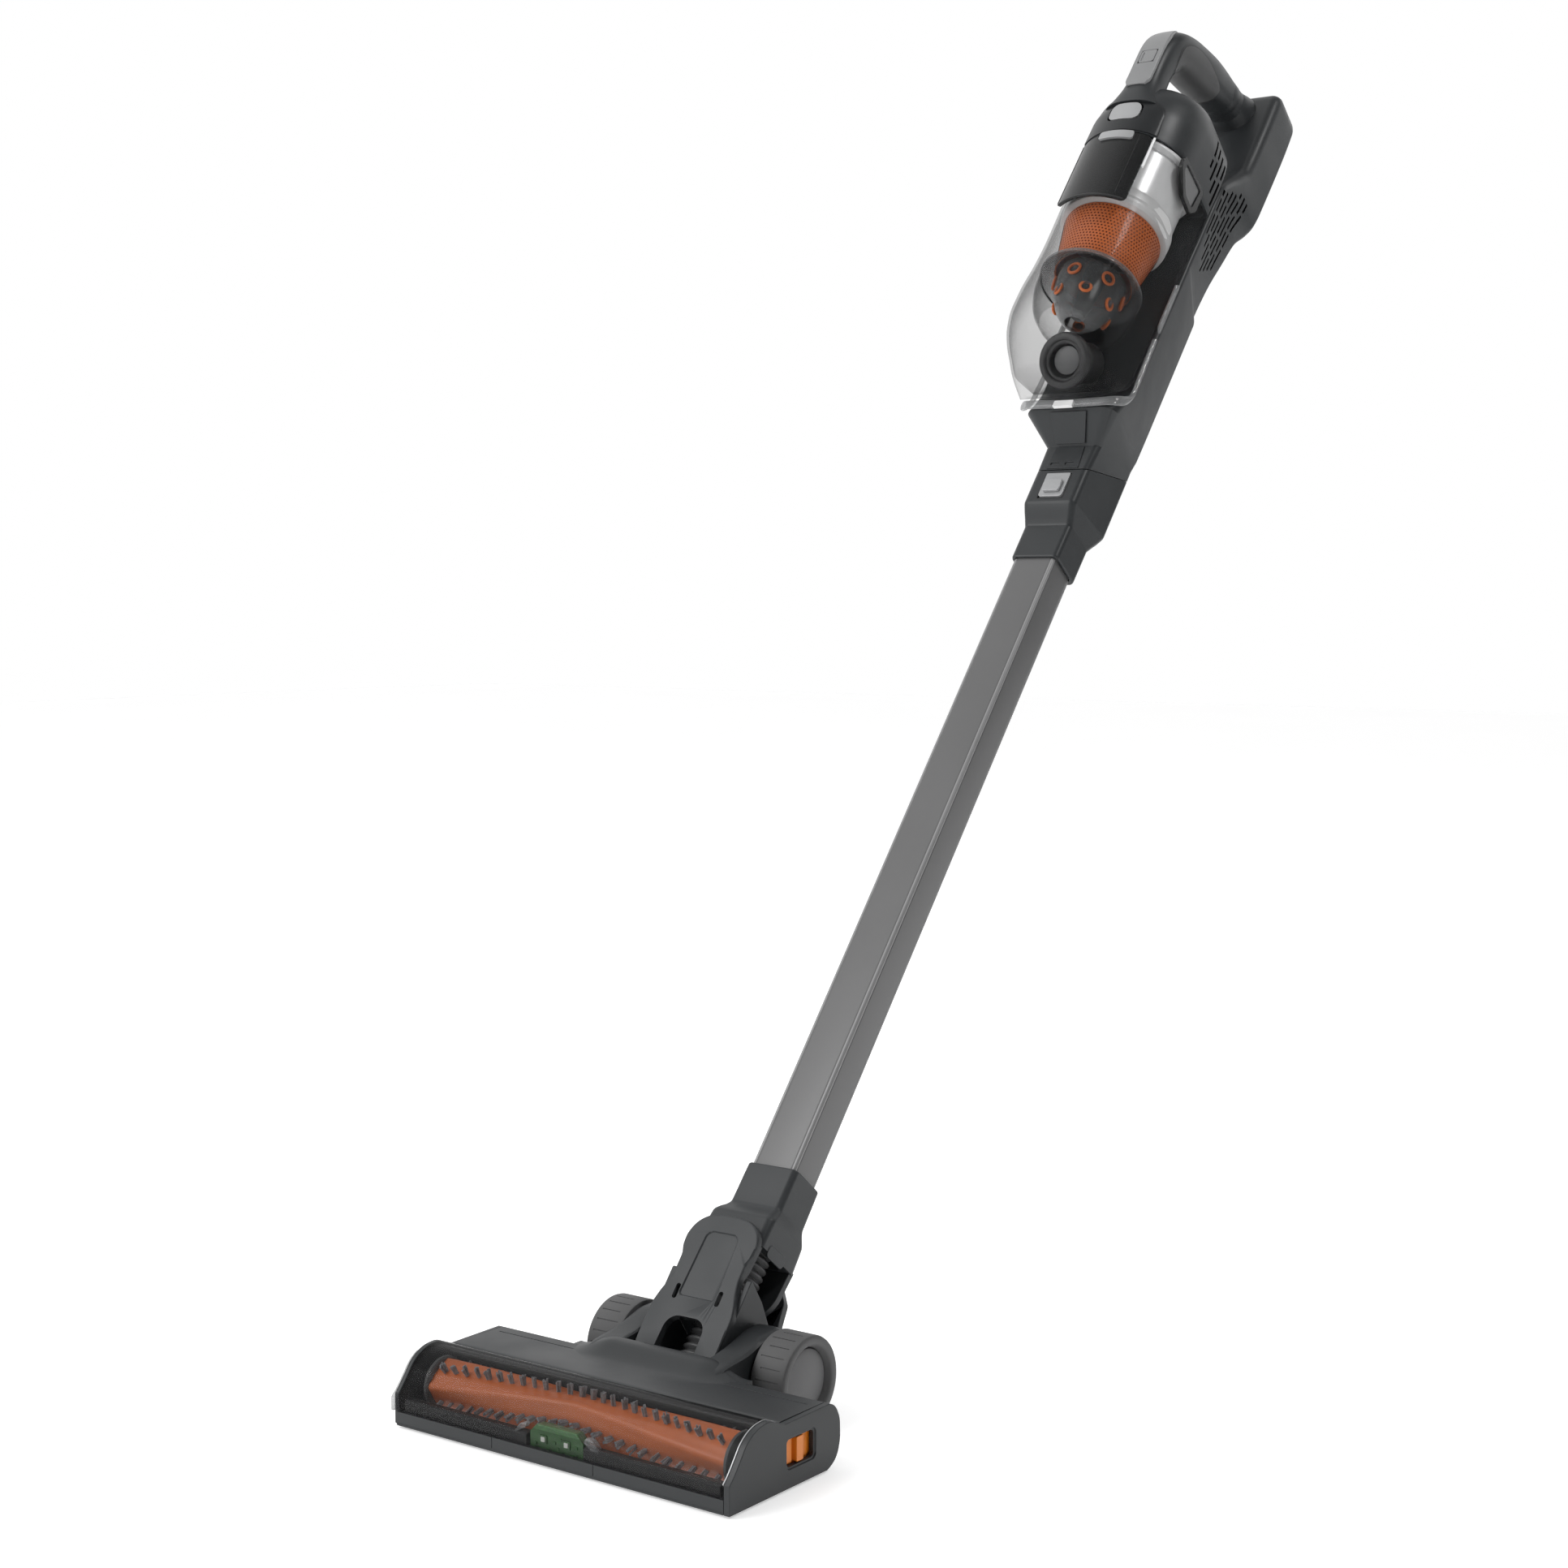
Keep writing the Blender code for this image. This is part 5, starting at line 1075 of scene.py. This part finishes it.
def nozzle():
    outline = rounded(((-13.4, 733), (13.4, 733), (11.8, 753.6), (-11.8, 753.6)), 0.8)
    slots = []
    for x in (-7, 5):
        slot = rounded(((x - 3.7, 736.1), (x + 3.7, 736.1), (x + 3.7, 738.7), (x - 3.7, 738.7)), 1)
        slots.append(extrude_n(slot, 20, 40))
    piece("nozzle_panel_skin", extrude_n(outline, 24.6, 26.2), "handheld", "dark",
          cuts=[merged(slots)], bevel=0.25)
    chin = [stick(*p) for p in ((-12, 27.6, 755.4), (12, 27.6, 755.4), (16, 46.4, 769.6), (-14, 46.4, 769.6))]
    out = Vector((0, -0.56, -0.83))
    bm = lofted([[p + out * step for p in chin] for step in (-1, 0.6)])
    piece("chin_panel", bm, "handheld", "dark", bevel=0.25)


# ---------------------------------------------------------------- dust bowl

BOWL_ROWS = ((974.2, 974.2, 34.6, 126.8, 41.4, 46.8, 43), (925, 925, 34.6, 123.8, 40.8, 44.8, 42),
             (880, 880, 34.6, 123, 40.2, 44.4, 42), (853, 853, 34.6, 124.4, 40, 44.9, 42),
             (829, 829, 34.6, 126.6, 39.8, 46, 43), (818, 812, 34.8, 126.8, 39.6, 46, 43),
             (809, 800, 35.6, 123, 39.4, 45.2, 40), (801, 790, 37.5, 112.5, 39.2, 43.6, 34),
             (795, 783.5, 39.5, 99.5, 38.8, 42.4, 28), (790, 778.6, 43, 87, 38.4, 41.4, 22),
             (786, 775.6, 46, 72, 38, 40.4, 16), (782, 773.6, 49, 57, 37, 39, 4))


BOWL_WALL = 1.8
BOWL_FLOOR_ROWS = 8
SLEEVE_AXIS = 79.6
CYCLONE_AXIS = 79


def bowl_ring(row, inset=0):
    s_back, s_front, back, front, half_back, half_front, round_front = row
    outline = section(back + inset, front - inset, half_back - inset, half_front - inset, 3,
                      max(round_front - inset, 2), 14)
    rise = (s_front - s_back) / (front - back)
    return [stick(p[0], p[1], s_back + (p[1] - back) * rise) for p in outline]


def bowl():
    rows = refine(BOWL_ROWS, 4)
    inside = [bowl_ring(row, BOWL_WALL) for row in rows[:-BOWL_FLOOR_ROWS]]
    bm = walled([bowl_ring(row) for row in rows], inside, closed_end=True)
    piece("dust_bowl_skin", bm, "dust_bowl", "clear", smooth=60)
    path = catmull(LIP_PATH, 4)
    rings = []
    for i, spot in enumerate(path):
        along = (Vector(path[min(i + 1, len(path) - 1)]) - Vector(path[max(i - 1, 0)])).normalized()
        side = along.cross(Vector((0, 0, 1))).normalized()
        up = side.cross(along)
        tall = 2 + 1.9 * ease(790, 776, spot[2])
        rings.append([stick(*(Vector(spot) + side * (1.7 * c) + up * (tall * e))) for c, e in circle(1, 16)])
    piece("bowl_lip_skin", lofted(rings), "dust_bowl", "thick", smooth=60)
    tab = extrude_n(rounded(((-8.5, 768), (7.5, 768), (7.5, 773.6), (-8.5, 773.6)), 0.6), 51.6, 54.2)
    piece("lip_tab_skin", tab, "dust_bowl", "white", bevel=0.2)


LIP_HALF = ((41, 36.6, 846), (41.4, 36.4, 820), (41.8, 36.4, 803), (42, 37, 790),
            (41.6, 41.6, 782), (39.6, 47, 777), (35, 50.4, 774.4), (26, 51.6, 773))
LIP_PATH = tuple((-x, n, s) for x, n, s in LIP_HALF) + ((0, 51.9, 772.2),) + LIP_HALF[::-1]


def bowl_latch():
    mid = (SLEEVE_AXIS, 45.9)
    piece("latch_panel_skin", plate(-36, 37, 907, 973.8, 5, 0.7, 2.5, mid, rows=20, columns=20),
          "dust_bowl", "smoke", bevel=0.4, smooth=40)
    piece("panel_tab_skin", plate(-12, 20, 966, 973.4, 1.6, 2.4, 4.4, mid), "dust_bowl",
          "silver", bevel=0.5)
    for angle in (-37.6, 25):
        line = plate(angle, angle + 0.7, 912, 972, 0.2, 0.4, 2.72, mid, columns=2)
        piece("panel_line_%d" % (angle > 0), line, "dust_bowl", "darker")
    bead = [stick(48.6 * math.sin(math.radians(t)), SLEEVE_AXIS + 48.2 * math.cos(math.radians(t)), 908.4)
            for t in [-33 + 67 * k / 30 for k in range(31)]]
    piece("panel_bead", round_bead(bead, 0.8), "dust_bowl", "darker", smooth=60)
    piece("panel_edge", plate(37.4, 39.4, 944, 974, 0.5, 0.2, 2.6, mid, columns=2), "dust_bowl",
          "chrome", bevel=0.2)
    body = rounded(((60, 974), (98, 974), (97, 964), (82, 948), (66, 946), (60, 954)), 3)
    window = rounded(((65, 970.6), (93, 970.6), (91, 964), (79, 952), (67, 951)), 2)
    piece("side_catch_skin", extrude_side(body, 44.4, 47.8), "dust_bowl", "smoke",
          cuts=[extrude_side(window, 46.4, 50)], bevel=0.5)
    piece("catch_pane", extrude_side(window, 45.6, 46.8), "dust_bowl", "haze", bevel=0.3)
    strip = rounded(((36, 852), (41, 856), (41, 898), (36, 902)), 1)
    for side, name in ((-1, "left"), (1, "right")):
        piece("bowl_edge_strip_" + name, extrude_side(strip, side * 41.4, side * 43.2), "dust_bowl",
              "thick", bevel=0.5)


def round_bead(points, radius):
    """Round bead along a line of points."""
    rings = []
    for i, p in enumerate(points):
        along = (points[min(i + 1, len(points) - 1)] - points[max(i - 1, 0)]).normalized()
        side = along.cross(Vector((0, 0.3, 1))).normalized()
        up = side.cross(along)
        rings.append([p + side * (radius * c) + up * (radius * d) for c, d in circle(1, 10)])
    return lofted(rings)


def shell(profile, wall, n=CYCLONE_AXIS):
    """Thin wall turned about the cyclone's axis."""
    outer = [stick_ring(r, s, n, 96) for r, s in profile]
    inner = [stick_ring(max(r - wall, 0.4), s, n, 96) for r, s in profile]
    return walled(outer, inner)


def cyclone():
    sleeve = ((45.4, 974), (45.2, 972.6), (40.6, 971.4), (40.2, 950), (40.2, 931), (40, 929))
    piece("cyclone_sleeve_skin", shell(sleeve, 1.4, SLEEVE_AXIS), "dust_bowl", "chrome",
          smooth=40)
    ring = ((41, 929), (41.8, 926), (41.8, 921), (40.6, 919.6), (40.6, 917.8), (41.6, 916.6), (41, 913.6),
            (38.6, 912.4))
    piece("cyclone_ring", shell(ring, 2, 79.4), "dust_bowl", "white", smooth=30)
    cone = refine(((37.2, 912), (34, 890), (30.2, 868)), 10)
    piece("mesh_cone_skin", shell(cone, 1.2), "dust_bowl", "orange", smooth=40)
    # dark dots: painted shade standing for the holes of the perforation
    dots = bmesh.new()
    rows, count = 17, 80
    for j in range(rows):
        t = (j + 0.5) / rows
        s = 911 - 42 * t
        r = 37.3 - 6.9 * t + 0.30
        for i in range(count):
            dot(dots, 2 * math.pi * (i + 0.5 * (j % 2)) / count, s, r)
    piece("mesh_holes", dots, "dust_bowl", "mesh", smooth=60)
    skirt = ((30.6, 869), (33, 867.6), (38, 864.6), (39.4, 862.4), (39.2, 860.6), (37.6, 861), (32, 865),
             (30.2, 866.4))
    piece("cyclone_skirt_skin", lathe_ring(skirt), "dust_bowl", "thick", smooth=40)
    bell = refine(((38.6, 861), (38, 846), (34, 830), (26, 819)), 5)
    piece("cyclone_bell", shell(bell, 1), "dust_bowl", "clear", smooth=50)
    cone = refine(((26, 866.6), (25, 852), (20, 838), (13, 828), (9, 825)), 5)
    piece("inner_cone_skin", shell(cone, 1.2), "dust_bowl", "haze", smooth=40)
    eyes = []
    for row, (s, r, count, size) in enumerate(((856, 25.6, 6, 4.6), (843, 22, 6, 4))):
        for i in range(count):
            eyes.append(eyelet(2 * math.pi * (i + 0.5 * (row % 2)) / count, s, r, size))
    piece("cone_eyelets", merged(eyes), "dust_bowl", "orange", smooth=50)
    core = lofted([stick_ring(r, s, CYCLONE_AXIS, 32) for r, s in
                   ((9, 905), (9, 870), (7, 850), (5, 832))])
    piece("cone_core", core, "dust_bowl", "hub", smooth=40)


def lathe_ring(profile):
    """Closed ring turned about the cyclone's axis."""
    bm = bmesh.new()
    rows = [[bm.verts.new(p) for p in stick_ring(r, s, CYCLONE_AXIS, 96)] for r, s in profile]
    bridge(bm, rows + rows[:1])
    return bm


def dot(bm, a, s, r):
    """Small raised bead of the perforated cone, coloured dark as painted shade in a hole."""
    out = Vector((math.sin(a), math.cos(a)))
    side = Vector((math.cos(a), -math.sin(a)))
    middle = Vector((r * out[0], CYCLONE_AXIS + r * out[1]))
    ring = []
    for along, rise in circle(0.72, 6):
        p = middle + side * along
        ring.append(bm.verts.new(stick(p[0], p[1], s + rise)))
    top, base = [bm.verts.new(stick(p[0], p[1], s)) for p in (middle + out * 0.25, middle - out * 0.3)]
    for k in range(6):
        bm.faces.new((ring[k], ring[(k + 1) % 6], top))
        bm.faces.new((ring[(k + 1) % 6], ring[k], base))


def eyelet(a, s, r, size):
    """Ring round a hole in the inner cone."""
    out = Vector((math.sin(a), math.cos(a)))
    side = Vector((math.cos(a), -math.sin(a)))
    bm = bmesh.new()
    rows = []
    middle = Vector((r * out[0], CYCLONE_AXIS + r * out[1]))
    for k in range(20):
        t = 2 * math.pi * k / 20
        ring = []
        for m in range(8):
            u = 2 * math.pi * m / 8
            rad = size + 1.1 * math.cos(u)
            p = middle + side * (rad * math.cos(t)) + out * (1.1 * math.sin(u) + 0.4)
            ring.append(bm.verts.new(stick(p[0], p[1], s + rad * math.sin(t))))
        rows.append(ring)
    bridge(bm, rows + rows[:1])
    return bm


DUCT_MOUTH = (0, 74.8, 793.3)


def duct():
    """Rubber ring of the inlet, facing the front, with its flap hung inside."""
    mouth = stick(*DUCT_MOUTH)
    back = Vector((0, math.sin(ELEVATION), math.cos(ELEVATION)))
    up = Vector((1, 0, 0)).cross(back)

    def ring(r, d, lift=0):
        return [mouth + back * d + Vector((r * c, 0, 0)) + up * (r * e + lift) for c, e in circle(1, 72)]

    profile = refine(((12.4, 5), (12.6, 2.8), (13.4, 2.2), (14.6, 2), (15.2, 0.8), (16.6, 0), (18.8, 0.2),
                      (20.2, 1.2), (20.8, 3.4), (20.2, 7), (18, 9.4), (15.6, 11), (15.4, 34), (12.4, 34),
                      (12.4, 5)), 3)
    bm = bmesh.new()
    rows = [[bm.verts.new(p) for p in ring(r, d)] for r, d in profile[:-1]]
    bridge(bm, rows + rows[:1])
    piece("inlet_duct_skin", bm, "dust_bowl", "rubber", smooth=50)
    flap = lofted([ring(r, d, 0.7) for r, d in ((9.9, 6), (10.4, 6.3), (10.4, 7.3), (8.6, 7.6), (0.5, 7.2))])
    piece("inlet_flap_skin", flap, "inlet_flap", "hose", smooth=40)


# ---------------------------------------------------------------- build

end_caps()
window_shell()
head_shell()
bumper()
brush()
lights()
wheels()
bracket()
fork()
socket()
hose()
wand()
collar()
body_shell()
dome()
handle()
nozzle()
bowl()
bowl_latch()
cyclone()
duct()

DRESSED = {
    "sole_plate": ("dark", 0.3), "brush_motor": ("steel", 0.4), "brush_pulley": ("rubber", 0.2),
    "motor_pinion": ("steel", 0.2), "drive_belt": ("rubber", 0), "front_roller_left": ("rubber", 0.4),
    "front_roller_right": ("rubber", 0.4), "axle_pin_left": ("steel", 0.2), "axle_pin_right": ("steel", 0.2),
    "swivel_pin_front": ("steel", 0.3), "swivel_pin_rear": ("steel", 0.3), "suction_motor": ("steel", 0.5),
    "impeller": ("rubber", 0), "control_board": ("board", 0.2), "battery_pack": ("wrap", 0),
    "rear_cover": ("dark", 0.5), "pleated_filter": ("filter", 0),
}
for name, (look, bevel) in DRESSED.items():
    dress(name, look, bevel)


# ---------------------------------------------------------------- stage, light, camera

FLOOR_GAP = -0.0004
FLOOR_GLOW = 0.48


def stage():
    """White floor, and a world that is bright on the left and dark on the right of the stick."""
    floor = mesh_object("floor", box(((-9000, 9000), (-9000, 9000), (-20, 0))), SCALE)
    floor.location.z = FLOOR_GAP
    paint = surface("floor_paint", (0.93, 0.93, 0.93), 0.8, vary=0.01, patch=2, grain=300, bump=0.02)
    shader = paint.node_tree.nodes["Principled BSDF"]
    shader.inputs["Emission Color"].default_value = (1, 1, 1, 1)
    shader.inputs["Emission Strength"].default_value = FLOOR_GLOW
    floor.data.materials.append(paint)
    bpy.context.scene.view_settings.view_transform = "Standard"
    world = bpy.context.scene.world or bpy.data.worlds.new("studio")
    bpy.context.scene.world = world
    world.use_nodes = True
    tree = world.node_tree
    back = tree.nodes["Background"]
    coords = node(tree, "ShaderNodeTexCoord")
    split = node(tree, "ShaderNodeSeparateXYZ")
    tree.links.new(coords.outputs["Generated"], split.inputs["Vector"])
    side = node(tree, "ShaderNodeMapRange", interpolation_type="SMOOTHSTEP")
    for name, value in (("From Min", -0.45), ("From Max", 0.42), ("To Min", 1), ("To Max", 0.06)):
        side.inputs[name].default_value = value
    tree.links.new(split.outputs["X"], side.inputs["Value"])
    path = node(tree, "ShaderNodeLightPath")
    pick = node(tree, "ShaderNodeMath", operation="MAXIMUM")
    tree.links.new(side.outputs["Result"], pick.inputs[0])
    tree.links.new(path.outputs["Is Camera Ray"], pick.inputs[1])
    tree.links.new(pick.outputs["Value"], back.inputs["Strength"])
    back.inputs["Color"].default_value = (1, 1, 1, 1)


def area(name, place, target, size, power):
    light = bpy.data.lights.new(name, "AREA")
    light.shape = "RECTANGLE"
    light.size, light.size_y = size
    light.energy = power
    obj = bpy.data.objects.new(name, light)
    obj.location = place
    obj.rotation_euler = (Vector(target) - Vector(place)).to_track_quat("-Z", "Y").to_euler()
    bpy.context.scene.collection.objects.link(obj)


def camera():
    lens = bpy.data.cameras.new("camera")
    lens.lens = 57.31
    lens.sensor_width = 36
    obj = bpy.data.objects.new("camera", lens)
    obj.location = (0.9278, -1.4607, 0.4919)
    obj.rotation_euler = (math.radians(85.724), 0, math.radians(36.622))
    bpy.context.scene.collection.objects.link(obj)
    bpy.context.scene.camera = obj


stage()
area("key", (-1.2, -1.9, 1.9), (0, 0, 0.45), (1.4, 1.4), 28)
area("side", (1.5, 0.35, 2.5), (0, 0.3, 0.8), (0.3, 0.3), 20)
area("back", (0.6, 1.9, 1.5), (0, 0, 0.6), (1.6, 1), 5)
camera()
